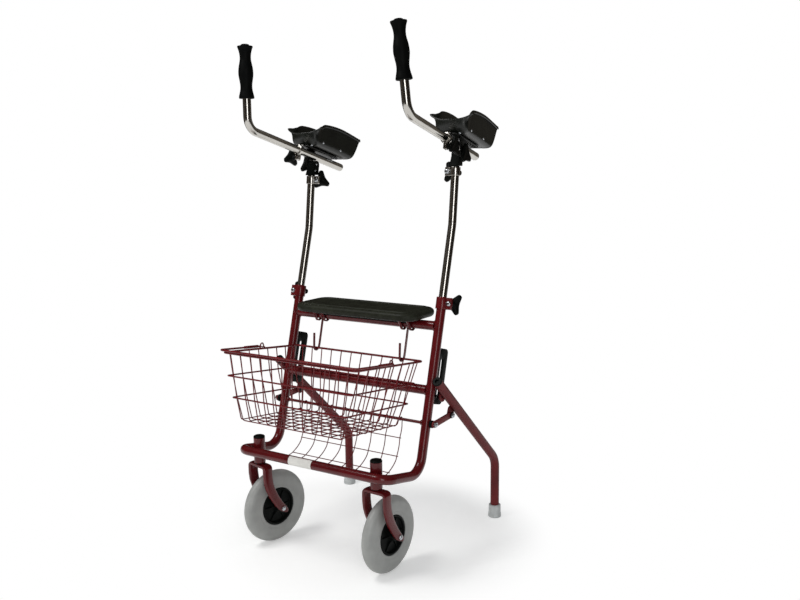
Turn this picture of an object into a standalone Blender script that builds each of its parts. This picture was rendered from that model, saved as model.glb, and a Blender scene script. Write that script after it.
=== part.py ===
"""Forearm support walker: a tube frame on two front castors and two folding rear legs,
with a seat, a lift-off basket, a storage net and two height-adjustable forearm rests.

Metres, +Z up. The pieces are laid out with the castor stems on y = 0 and the floor at z = 0,
and the whole frame is then moved so that the origin is the middle of the floor outline.
The front is -Y, and left (+X) and right (-X) are the walking user's own.
"""
import math

import bmesh
import bpy
from mathutils import Matrix, Vector

# Driving dimensions
TUBE_RADIUS = 0.0125
TUBE_BORE = 0.0112
CLEARANCE = 0.0003
UPRIGHT_X = 0.2375
UPRIGHT_FOOT_Y = 0.0643
UPRIGHT_SLOPE = 0.273
UPRIGHT_TOP_Z = 0.684
LOW_BEND = (0.1295, 0.2388)
FRONT_BAR = (-0.0283, 0.2723)
SEAT_BAR_Z = 0.612
MIDDLE_BAR_Z = 0.4493
ROD_RADIUS = 0.004
LINK_FOOT = (0.1646, 0.3673)
LINK_HEAD = (0.2520, 0.3715)
SLOT_PIN = (0.2157, 0.4292)
LEG_X = 0.2642
LEG_TOP = (0.1750, 0.4800)
LEG_KNEE = (0.5065, 0.1765)
WHEEL_RADIUS = 0.100
TYRE_WIDTH = 0.031
TYRE_BORE = 0.052
CASTOR_X = 0.1915
CASTOR_TRAIL = 0.0455
CASTOR_TURN = {"left": -4.0, "right": -12.2}
SEAT_HALF_WIDTH = 0.198
SEAT_FRONT_Y = 0.1555
SEAT_REAR_Y = 0.307
SEAT_Z = (0.629, 0.649)
POLE_RADIUS = 0.0107
POLE_BORE = 0.0094
POLE_DEPTH = 0.170
POLE_BEND_Z = 0.849
POLE_TOP_Z = 0.9986
POLE_TOP_SLOPE = 0.117
HOLE_PITCH = 0.0244
# How each forearm unit stands in the photograph: bracket swivel, trough tilt and bar turn in
# degrees, and how far the bar is slid back in its clip.
UNIT_STANCE = {"left": (5.0, 1.0, -6.0, -0.0080), "right": (0.0, 0.0, 0.0, 0.0)}
BAR_RADIUS = 0.011
BAR_SLOPE = -0.262
BAR_PASSES = (0.2204, 1.0825)
BAR_REAR_Y = 0.454
GRIP_Y = 0.050
GRIP_Z = (1.2046, 1.344)
TILT_PIVOT = (0.3248, 1.0305)
KNOB_RADIUS = 0.030
KNOB_THICKNESS = 0.014
WIRE_RADIUS = 0.0025
HOOK_X = 0.143
WINDOW_HALF_WIDTH = 0.006
WINDOW_Z = (0.4400, 0.5195)
HANDLE_FRONT_Y = -0.1105
HANDLE_RADIUS = 0.0028
TIP_RADIUS = 0.019
MIDDLE_Y = (HANDLE_FRONT_Y - HANDLE_RADIUS + LEG_KNEE[0] + TIP_RADIUS) / 2

SIDES = {"left": 1.0, "right": -1.0}
UP = Vector((0.0, UPRIGHT_SLOPE, 1.0)).normalized()
BEHIND = Vector((0.0, 1.0, -UPRIGHT_SLOPE)).normalized()
POLE_UP = Vector((0.0, POLE_TOP_SLOPE, 1.0)).normalized()
POLE_BEHIND = Vector((0.0, 1.0, -POLE_TOP_SLOPE)).normalized()
ALONG_BAR = Vector((0.0, 1.0, BAR_SLOPE)).normalized()
ABOVE_BAR = Vector((0.0, -BAR_SLOPE, 1.0)).normalized()
LEG_DOWN = Vector((0.0, LEG_KNEE[0] - LEG_TOP[0], LEG_KNEE[1] - LEG_TOP[1])).normalized()
LEG_UNDER = Vector((0.0, LEG_DOWN.z, -LEG_DOWN.y))
X_AXIS = Vector((1.0, 0.0, 0.0))
Z_AXIS = Vector((0.0, 0.0, 1.0))

FINISHES = {
    "burgundy_paint": ((0.105, 0.009, 0.014), 0.35, 0.32),
    "chrome": ((0.62, 0.60, 0.57), 1.0, 0.12),
    "zinc": ((0.55, 0.55, 0.54), 1.0, 0.30),
    "black_plastic": ((0.006, 0.008, 0.006), 0.0, 0.45),
    "seat_plastic": ((0.020, 0.021, 0.016), 0.0, 0.50),
    "grey_tyre": ((0.27, 0.27, 0.265), 0.0, 0.55),
    "pale_rubber": ((0.58, 0.60, 0.59), 0.0, 0.60),
}


def clear_scene():
    for thing in list(bpy.data.objects):
        bpy.data.objects.remove(thing, do_unlink=True)


def new_collection(name):
    collection = bpy.data.collections.new(name)
    bpy.context.scene.collection.children.link(collection)
    return collection


def new_object(name, data):
    thing = bpy.data.objects.new(name, data)
    PARTS.objects.link(thing)
    return thing


def from_bmesh(name, shape):
    mesh = bpy.data.meshes.new(name)
    shape.to_mesh(mesh)
    shape.free()
    return new_object(name, mesh)


def upright_point(z, side):
    return Vector((side * UPRIGHT_X, UPRIGHT_FOOT_Y + UPRIGHT_SLOPE * z, z))


def turn_to(direction):
    return direction.to_track_quat("Z", "Y").to_matrix().to_4x4()


def rounded(corners, radii, steps=4):
    """The corner points with an arc of the given radius put in at each inner corner."""
    points = [Vector(corners[0])]
    for before, corner, after, radius in zip(corners, corners[1:], corners[2:], radii):
        corner = Vector(corner)
        back = (Vector(before) - corner).normalized()
        ahead = (Vector(after) - corner).normalized()
        half = back.angle(ahead) / 2
        centre = corner + (back + ahead).normalized() * radius / math.sin(half)
        start = corner + back * radius / math.tan(half) - centre
        end = corner + ahead * radius / math.tan(half) - centre
        for step in range(steps + 1):
            points.append(centre + radius * start.slerp(end, step / steps))
    points.append(Vector(corners[-1]))
    return points


def tube(name, points, radius, resolution=4):
    """A solid round bar along the points, 4 + 2 x resolution sides, as a welded mesh."""
    curve = bpy.data.curves.new(name, "CURVE")
    curve.dimensions = "3D"
    curve.bevel_depth = radius
    curve.bevel_resolution = resolution
    curve.use_fill_caps = True
    spline = curve.splines.new("POLY")
    spline.points.add(len(points) - 1)
    for spot, point in zip(spline.points, points):
        spot.co = (*point, 1.0)
    return curve_to_mesh(name, curve)


def curve_to_mesh(name, curve):
    guide = new_object(name + "_curve", curve)
    bpy.context.view_layer.update()
    evaluated = guide.evaluated_get(bpy.context.evaluated_depsgraph_get())
    mesh = bpy.data.meshes.new_from_object(evaluated)
    bpy.data.objects.remove(guide, do_unlink=True)
    shape = bmesh.new()
    shape.from_mesh(mesh)
    bmesh.ops.remove_doubles(shape, verts=shape.verts, dist=0.00001)
    bmesh.ops.recalc_face_normals(shape, faces=shape.faces)
    shape.to_mesh(mesh)
    shape.free()
    mesh.name = name
    return new_object(name, mesh)


def rod(name, start, end, radius, sides=16):
    """A straight round bar from one point to another."""
    start, end = Vector(start), Vector(end)
    shape = bmesh.new()
    bmesh.ops.create_cone(shape, cap_ends=True, segments=sides, radius1=radius, radius2=radius,
                          depth=(end - start).length)
    thing = from_bmesh(name, shape)
    thing.matrix_world = Matrix.Translation((start + end) / 2) @ turn_to(end - start)
    return thing


def box(name, low, high):
    low, high = Vector(low), Vector(high)
    shape = bmesh.new()
    bmesh.ops.create_cube(shape, size=1.0)
    bmesh.ops.scale(shape, vec=high - low, verts=shape.verts)
    thing = from_bmesh(name, shape)
    thing.location = (low + high) / 2
    return thing


def turned(name, profile, sides, place):
    """A profile of (radius, height) points, spun about the local Z axis of the place."""
    mesh = bpy.data.meshes.new(name)
    edges = [(index, index + 1) for index in range(len(profile) - 1)]
    if profile[0][0] > 0:
        edges.append((len(profile) - 1, 0))
    mesh.from_pydata([(radius, 0.0, height) for radius, height in profile], edges, [])
    thing = new_object(name, mesh)
    thing.matrix_world = place
    spin = thing.modifiers.new("spin", "SCREW")
    spin.steps = sides
    spin.render_steps = sides
    spin.use_merge_vertices = True
    spin.merge_threshold = 0.00001
    return thing


def plate(name, outline, holes, thickness, place):
    """A flat outline in the place's XY plane, thickened equally to both sides."""
    curve = bpy.data.curves.new(name, "CURVE")
    curve.dimensions = "2D"
    curve.fill_mode = "BOTH"
    curve.extrude = thickness / 2
    for ring in [outline] + holes:
        spline = curve.splines.new("POLY")
        spline.points.add(len(ring) - 1)
        for spot, point in zip(spline.points, ring):
            spot.co = (point[0], point[1], 0.0, 1.0)
        spline.use_cyclic_u = True
    thing = curve_to_mesh(name, curve)
    thing.matrix_world = place
    return thing


def circle(centre, radius, sides=12):
    turns = [math.tau * index / sides for index in range(sides)]
    return [(centre[0] + radius * math.cos(turn), centre[1] + radius * math.sin(turn)) for turn in turns]


def rounded_outline(corners, radius, steps=3):
    """A closed flat outline with each of its corners rounded."""
    loop = [corners[-1]] + list(corners) + [corners[0]]
    loop = [Vector((x, y, 0.0)) for x, y in loop]
    points = rounded(loop, [radius] * len(corners), steps)
    return [(point.x, point.y) for point in points[1:-1]]


def side_place(x):
    """A place whose local X, Y and Z are the world's Y, Z and X."""
    turn = Matrix(((0, 0, 1, 0), (1, 0, 0, 0), (0, 1, 0, 0), (0, 0, 0, 1)))
    return Matrix.Translation((x, 0.0, 0.0)) @ turn


def combine(target, tool, operation):
    """Cut the tool out of the target, or join it on, and keep the tool as a hidden guide."""
    PARTS.objects.unlink(tool)
    CUTTERS.objects.link(tool)
    tool.hide_render = True
    tool.display_type = "WIRE"
    change = target.modifiers.new(operation.lower(), "BOOLEAN")
    change.operation = operation
    change.solver = "EXACT"
    change.object = tool
    carry(target, tool)
    return target


def cut(target, tool):
    return combine(target, tool, "DIFFERENCE")


def join(target, tool):
    return combine(target, tool, "UNION")


def finish(thing, finish_name, smooth=True):
    colour, metallic, roughness = FINISHES[finish_name]
    material = bpy.data.materials.new(thing.name + "_" + finish_name)
    material.use_nodes = True
    shader = material.node_tree.nodes["Principled BSDF"]
    shader.inputs["Base Color"].default_value = (*colour, 1.0)
    shader.inputs["Metallic"].default_value = metallic
    shader.inputs["Roughness"].default_value = roughness
    thing.data.materials.clear()
    thing.data.materials.append(material)
    if smooth:
        thing.data.shade_smooth()
    if any(change.type == "BOOLEAN" for change in thing.modifiers):
        weld = thing.modifiers.new("weld", "WELD")
        weld.merge_threshold = 0.00005
    return thing


def pivot(name, place, parent=None):
    """An empty on a joint's axis, which carries the pieces that turn or slide there."""
    empty = bpy.data.objects.new(name, None)
    PARTS.objects.link(empty)
    empty.empty_display_size = 0.02
    empty.location = place
    bpy.context.view_layer.update()
    if parent:
        carry(parent, empty)
    return empty


def carry(empty, *things):
    bpy.context.view_layer.update()
    for thing in things:
        world = thing.matrix_world.copy()
        thing.parent = empty
        thing.matrix_parent_inverse = empty.matrix_world.inverted()
        thing.matrix_world = world
    bpy.context.view_layer.update()


def swing(empty, axis, degrees):
    """Turns a joint's empty about its own place, with all that it carries."""
    bpy.context.view_layer.update()
    spot = empty.matrix_world.translation.copy()
    turn = Matrix.Translation(spot) @ Matrix.Rotation(math.radians(degrees), 4, axis) @ Matrix.Translation(-spot)
    empty.matrix_world = turn @ empty.matrix_world
    bpy.context.view_layer.update()


def star_outline(radius, lobes=3):
    """A knob's outline: rounded tips with hollow flanks between them."""
    points = []
    for lobe in range(lobes):
        tip = math.tau * lobe / lobes + math.pi / 2
        for offset, reach in ((-0.20, 0.93), (-0.07, 1.0), (0.07, 1.0), (0.20, 0.93), (1.047, 0.43)):
            turn = tip + offset
            points.append((radius * reach * math.cos(turn), radius * reach * math.sin(turn)))
    return points


def clamp_knob(name, seat, outward, boss_start, boss_end, upward):
    """A three-lobed clamping knob on its bolt: outward points from the clamp to the knob."""
    across = upward.cross(outward)
    turn = Matrix((across, upward, outward)).transposed().to_4x4()
    middle = seat + outward * (boss_end + KNOB_THICKNESS / 2)
    knob = plate(name, star_outline(KNOB_RADIUS), [], KNOB_THICKNESS, Matrix.Translation(middle) @ turn)
    boss = rod(name + "_boss", seat + outward * boss_start, middle, 0.0060, 12)
    join(knob, boss)
    return finish(knob, "black_plastic")


def clamp_collar(name, centre, axis, bore, outer, height, toward, ear_reach, bolt_reach, finish_name):
    """A split ring with two ears: the bolt goes through the ears across the slit."""
    across = axis.cross(toward).normalized()
    turn = Matrix((toward, across, axis)).transposed().to_4x4()
    place = Matrix.Translation(centre) @ turn
    half = height / 2
    ring = turned(name, [(outer, half), (outer, -half), (bore, -half), (bore, half)], 16, place)
    ears = box(name + "_ears", ((bore + outer) / 2, -0.0050, -half), (ear_reach, 0.0050, half))
    ears.matrix_world = place @ ears.matrix_basis
    join(ring, ears)
    slit = box(name + "_slit", (0.0, -0.0012, -height), (ear_reach * 2, 0.0012, height))
    slit.matrix_world = place @ slit.matrix_basis
    cut(ring, slit)
    spot = centre + toward * bolt_reach
    cut(ring, rod(name + "_hole", spot - across * 0.02, spot + across * 0.02, 0.0032, 12))
    return finish(ring, finish_name)


def front_frame():
    """One bent tube: down an upright, forward along the side, across the front and back up."""
    corners = []
    for side in (1.0, -1.0):
        half = [upright_point(UPRIGHT_TOP_Z, side),
                Vector((side * UPRIGHT_X, *LOW_BEND)),
                Vector((side * UPRIGHT_X, *FRONT_BAR))]
        corners += half if side > 0 else half[::-1]
    radii = [0.048, 0.034, 0.034, 0.048]
    points = rounded(corners, radii, 4)
    frame = tube("front_frame", points, TUBE_RADIUS)
    inner = [points[0] + UP * 0.005] + points[1:-1] + [points[-1] + UP * 0.005]
    cut(frame, tube("front_frame_bore", inner, TUBE_BORE))
    reach = Vector((UPRIGHT_X + 0.02, 0.0, 0.0))
    seat = Vector((0.0, *LINK_FOOT))
    cut(frame, rod("front_frame_rod_hole", seat - reach, seat + reach, ROD_RADIUS + CLEARANCE))
    return finish(frame, "burgundy_paint")


def crossbar(name, z):
    """A cross tube whose ends are coped round the uprights."""
    middle = Vector((0.0, UPRIGHT_FOOT_Y + UPRIGHT_SLOPE * z, z))
    reach = Vector((UPRIGHT_X, 0.0, 0.0))
    bar = rod(name, middle - reach, middle + reach, TUBE_RADIUS)
    for side_name, side in SIDES.items():
        foot = upright_point(z - 0.05, side)
        head = upright_point(z + 0.05, side)
        cut(bar, rod(name + "_cope_" + side_name, foot, head, TUBE_RADIUS + 2 * CLEARANCE))
    return bar, middle, reach


def seat_crossbar():
    bar, middle, reach = crossbar("seat_crossbar", SEAT_BAR_Z)
    for side_name, side in SIDES.items():
        x = side * HOOK_X
        corners = [(x, middle.y, middle.z), (x, 0.2105, 0.5300), (x, 0.1980, 0.4975),
                   (x, 0.1845, 0.5250), (x, 0.1895, 0.5650)]
        hook = tube("basket_hook_" + side_name, rounded(corners, [0.012, 0.010, 0.012], 3), WIRE_RADIUS, 2)
        join(bar, hook)
    cut(bar, rod("seat_crossbar_bore", middle - reach, middle + reach, TUBE_BORE))
    return finish(bar, "burgundy_paint")


def middle_crossbar():
    bar, middle, reach = crossbar("middle_crossbar", MIDDLE_BAR_Z)
    cut(bar, rod("middle_crossbar_bore", middle - reach, middle + reach, TUBE_BORE))
    return finish(bar, "burgundy_paint")


def lower_rod():
    """The rod through both uprights, with the bushes and nuts of the two link pivots."""
    half = [(0.0, 0.2700), (0.0065, 0.2700), (0.0065, 0.2633), (ROD_RADIUS, 0.2633),
            (ROD_RADIUS, 0.2582), (0.0065, 0.2582), (0.0065, 0.2503), (ROD_RADIUS, 0.2503)]
    profile = half + [(radius, -reach) for radius, reach in reversed(half)]
    place = Matrix.Translation((0.0, *LINK_FOOT)) @ turn_to(X_AXIS)
    return finish(turned("lower_rod", profile, 12, place), "burgundy_paint")


def guide_plate(side_name):
    """The slotted plate behind an upright, in which the folding leg's pin slides."""
    corners = [(0.0128, -0.0185), (0.0625, -0.0185), (0.0625, 0.1290), (0.0128, 0.1290)]
    outline = rounded_outline(corners, 0.0115)
    pin_behind = 0.0330
    slot = [(pin_behind - 0.0033, -0.0055), (pin_behind + 0.0087, -0.0055),
            (pin_behind + 0.0087, 0.0980), (pin_behind - 0.0033, 0.0980)]
    pin_along = SLOT_PIN[1] / UP.z + pin_behind * UPRIGHT_SLOPE
    foot = Vector((SIDES[side_name] * UPRIGHT_X, UPRIGHT_FOOT_Y, 0.0)) + UP * pin_along
    turn = Matrix((BEHIND, UP, X_AXIS)).transposed().to_4x4()
    thing = plate("guide_plate_" + side_name, outline, [rounded_outline(slot, 0.0055)], 0.0060,
                  Matrix.Translation(foot) @ turn)
    return finish(thing, "black_plastic", False)


def storage_net():
    """The sagging wire net between the lower rod and the front bar."""
    sag = [(0.1578, 0.3745), (0.1605, 0.3190), (0.1425, 0.2735), (0.1030, 0.2410), (0.0450, 0.2325),
           (-0.0120, 0.2540)]
    wires = 8
    half_width = 0.160
    shape = bmesh.new()
    rows = []
    for y, z in sag:
        xs = [half_width * (2 * index / (wires - 1) - 1) for index in range(wires)]
        rows.append([shape.verts.new((x, y, z)) for x in xs])
    for upper, lower in zip(rows, rows[1:]):
        for index in range(wires - 1):
            shape.faces.new((upper[index], upper[index + 1], lower[index + 1], lower[index]))
    net = from_bmesh("storage_net", shape)
    wire = net.modifiers.new("wire", "WIREFRAME")
    wire.thickness = 0.0028
    wire.use_boundary = True
    wire.use_replace = True
    return finish(net, "burgundy_paint", False)


def ring_points(level, wall, corner=0.028, steps=3):
    """A rounded rectangle at one level of the basket, tilted down to the back."""
    half_width, front, back, front_z = level
    low = (-half_width + wall, front + wall)
    high = (half_width - wall, back - wall)
    outline = rounded_outline([low, (high[0], low[1]), high, (low[0], high[1])], corner - wall, steps)
    return [Vector((x, y, front_z - 0.1155 * (y - front))) for x, y in outline]


def basket():
    """The lift-off basket as an open tub of its outer shape, with windows for the two hooks."""
    wall = 0.003
    rim = (0.2092, -0.104, 0.1965, 0.5580)
    floor = (0.1619, -0.104, 0.1450, 0.3840)
    inner_floor = (0.1627, -0.104, 0.1459, 0.3870)
    shape = bmesh.new()
    rings = [ring_points(floor, 0.0), ring_points(rim, 0.0), ring_points(rim, wall), ring_points(inner_floor, wall)]
    loops = [[shape.verts.new(point) for point in ring] for ring in rings]
    for lower, upper in zip(loops, loops[1:]):
        for index in range(len(lower)):
            after = (index + 1) % len(lower)
            shape.faces.new((lower[index], lower[after], upper[after], upper[index]))
    shape.faces.new(loops[0][::-1])
    shape.faces.new(loops[-1])
    tub = from_bmesh("basket", shape)
    for side_name, side in SIDES.items():
        low = (side * HOOK_X - WINDOW_HALF_WIDTH, 0.150, WINDOW_Z[0])
        high = (side * HOOK_X + WINDOW_HALF_WIDTH, 0.215, WINDOW_Z[1])
        cut(tub, box("basket_window_" + side_name, low, high))
    return finish(tub, "burgundy_paint", False)


def basket_handle():
    """The bail handle, folded down round the front half of the rim."""
    clear = 0.2150
    corners = [(clear, 0.0480, 0.5445), (clear, HANDLE_FRONT_Y, 0.5630), (-clear, HANDLE_FRONT_Y, 0.5630),
               (-clear, 0.0480, 0.5445)]
    bail = tube("basket_handle", rounded(corners, [0.028, 0.028], 4), HANDLE_RADIUS, 2)
    for side_name, side in SIDES.items():
        eye = rod("handle_eye_" + side_name, (side * 0.2096, 0.0450, 0.5449), (side * clear, 0.0450, 0.5449),
                  0.0026, 8)
        join(bail, eye)
    return finish(bail, "burgundy_paint")


def seat():
    """The seat slab with rounded corners, on a block that straddles the seat crossbar."""
    corners = [(-SEAT_HALF_WIDTH, SEAT_FRONT_Y), (SEAT_HALF_WIDTH, SEAT_FRONT_Y),
               (SEAT_HALF_WIDTH, SEAT_REAR_Y), (-SEAT_HALF_WIDTH, SEAT_REAR_Y)]
    thickness = SEAT_Z[1] - SEAT_Z[0]
    middle_z = (SEAT_Z[0] + SEAT_Z[1]) / 2
    slab = plate("seat", rounded_outline(corners, 0.045, 5), [], thickness, Matrix.Translation((0, 0, middle_z)))
    soften = slab.modifiers.new("soften", "BEVEL")
    soften.width = 0.005
    soften.segments = 2
    soften.limit_method = "ANGLE"
    bar = Vector((0.0, UPRIGHT_FOOT_Y + UPRIGHT_SLOPE * SEAT_BAR_Z, SEAT_BAR_Z))
    block = box("seat_block", (-0.150, bar.y - 0.018, bar.z + 0.002), (0.150, bar.y + 0.018, SEAT_Z[0] + 0.004))
    join(slab, block)
    reach = Vector((0.2, 0.0, 0.0))
    cut(slab, rod("seat_block_groove", bar - reach, bar + reach, TUBE_RADIUS + 2 * CLEARANCE))
    for side_name, side in SIDES.items():
        low = (side * HOOK_X - 0.004, bar.y - 0.03, bar.z - 0.01)
        high = (side * HOOK_X + 0.004, bar.y + 0.03, SEAT_Z[0] - 0.002)
        cut(slab, box("seat_block_gap_" + side_name, low, high))
    return finish(slab, "seat_plastic")


def arm_sweep(z):
    """How far a castor arm lies behind the stem at a height."""
    if z > 0.2:
        return 0.0
    return CASTOR_TRAIL * ((0.2 - z) / 0.1) ** 1.8


def castor_fork(name, place):
    outer, inner, crown, under = 0.0375, 0.0280, 0.2335, 0.2235
    levels = [0.089, 0.106, 0.126, 0.148, 0.172, 0.200]
    right_arm = [(outer, z) for z in levels]
    shoulder = rounded([(outer, 0.2, 0.0), (outer, crown, 0.0), (0.0, crown, 0.0)], [0.014], 3)[1:-1]
    crook = rounded([(0.0, under, 0.0), (inner, under, 0.0), (inner, 0.2, 0.0)], [0.006], 2)[1:-1]
    half = right_arm + [(point.x, point.y) for point in shoulder]
    underside = [(point.x, point.y) for point in crook] + [(inner, z) for z in reversed(levels)]
    outline = half + [(-x, z) for x, z in reversed(half)] + [(-x, z) for x, z in reversed(underside)] + underside
    stand_up = Matrix.Rotation(math.radians(90), 4, "X")
    fork = plate(name, outline, [], 0.022, stand_up)
    fork.data.transform(stand_up)
    for vertex in fork.data.vertices:
        vertex.co.y += arm_sweep(vertex.co.z)
    fork.matrix_world = place
    stem = rod(name + "_stem", place @ Vector((0, 0, 0.2290)), place @ Vector((0, 0, 0.3020)), 0.0085)
    join(fork, stem)
    axle = [place @ Vector((reach, CASTOR_TRAIL, WHEEL_RADIUS)) for reach in (-0.05, 0.05)]
    cut(fork, rod(name + "_axle_hole", axle[0], axle[1], ROD_RADIUS + CLEARANCE, 12))
    return finish(fork, "burgundy_paint")


def tyre_profile():
    half_width = TYRE_WIDTH / 2
    shoulder = 0.011
    points = []
    for step in range(4):
        turn = math.radians(90 - 28 * step)
        height = half_width - shoulder + shoulder * math.sin(turn)
        points.append((WHEEL_RADIUS - shoulder + shoulder * math.cos(turn), height))
    crown = points + [(radius, -height) for radius, height in reversed(points)]
    return [(TYRE_BORE, half_width - 0.001)] + crown + [(TYRE_BORE, -half_width + 0.001)]


def hub_profile():
    rim, web, boss = 0.0140, 0.0050, 0.0272
    side = [(ROD_RADIUS + CLEARANCE, boss), (0.0120, boss), (0.0120, web), (0.0440, web),
            (0.0460, rim), (TYRE_BORE - CLEARANCE, rim)]
    return side + [(radius, -height) for radius, height in reversed(side)]


def castor(side_name, side, frame):
    """A swivel castor: socket, cap and bush on the frame, fork and stem, and the wheel."""
    foot = Vector((side * CASTOR_X, 0.0, 0.0))
    place = Matrix.Translation(foot) @ Matrix.Rotation(math.radians(CASTOR_TURN[side_name]), 4, "Z")
    socket = turned("castor_socket_" + side_name,
                    [(0.0155, 0.3050), (0.0155, 0.2360), (0.0135, 0.2360), (0.0135, 0.3050)], 16, place)
    finish(socket, "burgundy_paint")
    cap = turned("castor_cap_" + side_name,
                 [(0.0, 0.3120), (0.0080, 0.3113), (0.0130, 0.3095), (0.0155, 0.3070), (0.0155, 0.3053),
                  (0.0, 0.3053)], 16, place)
    finish(cap, "black_plastic")
    bush = turned("castor_bush_" + side_name,
                  [(0.0132, 0.3045), (0.0132, 0.2357), (0.0150, 0.2357), (0.0150, 0.2338), (0.0088, 0.2338),
                   (0.0088, 0.3045)], 16, place)
    finish(bush, "black_plastic")
    fork = castor_fork("castor_fork_" + side_name, place)
    swivel = pivot("castor_swivel_" + side_name, foot)
    across = place @ Matrix.Translation((0.0, CASTOR_TRAIL, WHEEL_RADIUS)) @ turn_to(X_AXIS)
    axle_half = [(0.0, 0.0410), (0.0065, 0.0410), (0.0065, 0.0378), (ROD_RADIUS, 0.0378)]
    axle = turned("wheel_axle_" + side_name,
                  axle_half + [(radius, -reach) for radius, reach in reversed(axle_half)], 12, across)
    finish(axle, "zinc")
    tyre = turned("tyre_" + side_name, tyre_profile(), 28, across)
    finish(tyre, "grey_tyre")
    hub = turned("wheel_hub_" + side_name, hub_profile(), 28, across)
    finish(hub, "black_plastic")
    spin = pivot("wheel_spin_" + side_name, across.translation, swivel)
    carry(spin, tyre, hub)
    carry(swivel, fork, axle)
    carry(frame, swivel, socket, cap, bush)


def leg_point(side, along, under):
    return Vector((side * LEG_X, *LEG_TOP)) + LEG_DOWN * along + LEG_UNDER * under


def leg_lug(name, side, x, corners, thickness):
    """A flat lug under the leg tube, its corners given along and under the tube."""
    spots = [leg_point(side, along, under) for along, under in corners]
    return plate(name, [(spot.y, spot.z) for spot in spots], [], thickness, side_place(side * x))


def rear_leg(side_name, side, frame):
    """A folding rear leg: bent tube with lugs, foot tip, end plug, slot pin, link and bolt."""
    x = side * LEG_X
    corners = [leg_point(side, 0.005, 0.0), Vector((x, *LEG_KNEE)), Vector((x, LEG_KNEE[0], 0.0120))]
    points = rounded(corners, [0.030], 5)
    leg = tube("rear_leg_" + side_name, points, TUBE_RADIUS)
    ear = [(0.045, 0.004), (0.085, 0.004), (0.078, 0.020), (0.055, 0.020)]
    join(leg, leg_lug("pin_lug_" + side_name, side, 0.2540, ear, 0.003))
    tab = [(0.112, 0.006), (0.150, 0.006), (0.141, 0.034), (0.135, 0.038), (0.125, 0.038), (0.119, 0.033)]
    join(leg, leg_lug("link_lug_" + side_name, side, 0.2560, tab, 0.003))
    inner = [points[0] - LEG_DOWN * 0.005] + points[1:-1] + [points[-1] - Z_AXIS * 0.005]
    cut(leg, tube("rear_leg_bore_" + side_name, inner, TUBE_BORE))
    pin = Vector((0.0, *SLOT_PIN))
    cut(leg, rod("pin_hole_" + side_name, pin + X_AXIS * side * 0.2500, pin + X_AXIS * side * 0.2562, 0.0028, 12))
    head = Vector((0.0, *LINK_HEAD))
    cut(leg, rod("bolt_hole_" + side_name, head + X_AXIS * side * 0.25, head + X_AXIS * side * 0.262, 0.0043, 12))
    finish(leg, "burgundy_paint")

    floor_place = Matrix.Translation((x, LEG_KNEE[0], 0.0))
    tip = turned("foot_tip_" + side_name,
                 [(0.0, 0.0117), (0.0128, 0.0117), (0.0128, 0.0370), (0.0165, 0.0370), (0.0170, 0.0140),
                  (TIP_RADIUS, 0.0100), (TIP_RADIUS, 0.0), (0.0, 0.0)], 16, floor_place)
    finish(tip, "pale_rubber")

    top_place = Matrix.Translation(leg_point(side, 0.0, 0.0)) @ turn_to(-LEG_DOWN)
    plug = turned("leg_plug_" + side_name,
                  [(0.0125, 0.0), (0.0125, -0.0047), (0.0108, -0.0047), (0.0108, -0.0160), (0.0060, -0.0160),
                   (0.0060, 0.0)], 16, top_place)
    finish(plug, "black_plastic")

    pin_place = Matrix.Translation(pin) @ turn_to(X_AXIS * side)
    slide_pin = turned("slide_pin_" + side_name,
                       [(0.0, 0.2552), (0.0025, 0.2552), (0.0025, 0.2522), (0.0048, 0.2522), (0.0048, 0.2410),
                        (0.0025, 0.2410), (0.0025, 0.2341), (0.0070, 0.2341), (0.0070, 0.2305), (0.0, 0.2305)],
                       12, pin_place)
    finish(slide_pin, "black_plastic")

    lower, upper = Vector((*LINK_FOOT, 0.0)), Vector((*LINK_HEAD, 0.0))
    lean = (upper - lower).angle(Vector((1.0, 0.0, 0.0)))
    outline = []
    for centre, start in ((upper, -90), (lower, 90)):
        for step in range(7):
            turn = math.radians(start + 30 * step) + lean
            outline.append((centre.x + 0.0075 * math.cos(turn), centre.y + 0.0075 * math.sin(turn)))
    holes = [circle(centre, ROD_RADIUS + CLEARANCE) for centre in (lower, upper)]
    link = plate("folding_link_" + side_name, outline, holes, 0.0045, side_place(side * 0.26075))
    finish(link, "burgundy_paint")

    bolt_place = Matrix.Translation(head) @ turn_to(X_AXIS * side)
    bolt = turned("link_bolt_" + side_name,
                  [(0.0, 0.2720), (0.0065, 0.2720), (0.0065, 0.2633), (ROD_RADIUS, 0.2633), (ROD_RADIUS, 0.2542),
                   (0.0060, 0.2542), (0.0060, 0.2507), (0.0, 0.2507)], 12, bolt_place)
    finish(bolt, "zinc")

    link_pivot = pivot("link_pivot_" + side_name, (side * 0.26075, *LINK_FOOT))
    leg_pivot = pivot("leg_pivot_" + side_name, (x, *LINK_HEAD), link_pivot)
    carry(link_pivot, link)
    carry(leg_pivot, leg, tip, plug, slide_pin, bolt)
    carry(frame, link_pivot)


def bar_point(side, lift, along, above, outward=0.0):
    """A place beside the forearm bar: along it from its reference point, above it and outboard."""
    base = Vector((side * (UPRIGHT_X + outward), *BAR_PASSES)) + lift
    return base + ALONG_BAR * along + ABOVE_BAR * above


def pole_path(side, lift):
    bottom = upright_point(UPRIGHT_TOP_Z, side) - UP * POLE_DEPTH + lift
    bend = upright_point(POLE_BEND_Z, side) + lift
    top = bend + POLE_UP * (POLE_TOP_Z - POLE_BEND_Z) / POLE_UP.z
    return bottom, bend, top


def pole(side_name, side, lift):
    """The chromed height pole: straight in the upright, bent nearer to vertical above it."""
    bottom, bend, top = pole_path(side, lift)
    thing = tube("height_pole_" + side_name, rounded([bottom, bend, top], [0.10], 4), POLE_RADIUS)
    inner = rounded([bottom - UP * 0.005, bend, top + POLE_UP * 0.005], [0.10], 4)
    cut(thing, tube("height_pole_bore_" + side_name, inner, POLE_BORE))
    return finish(thing, "chrome")


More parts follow.
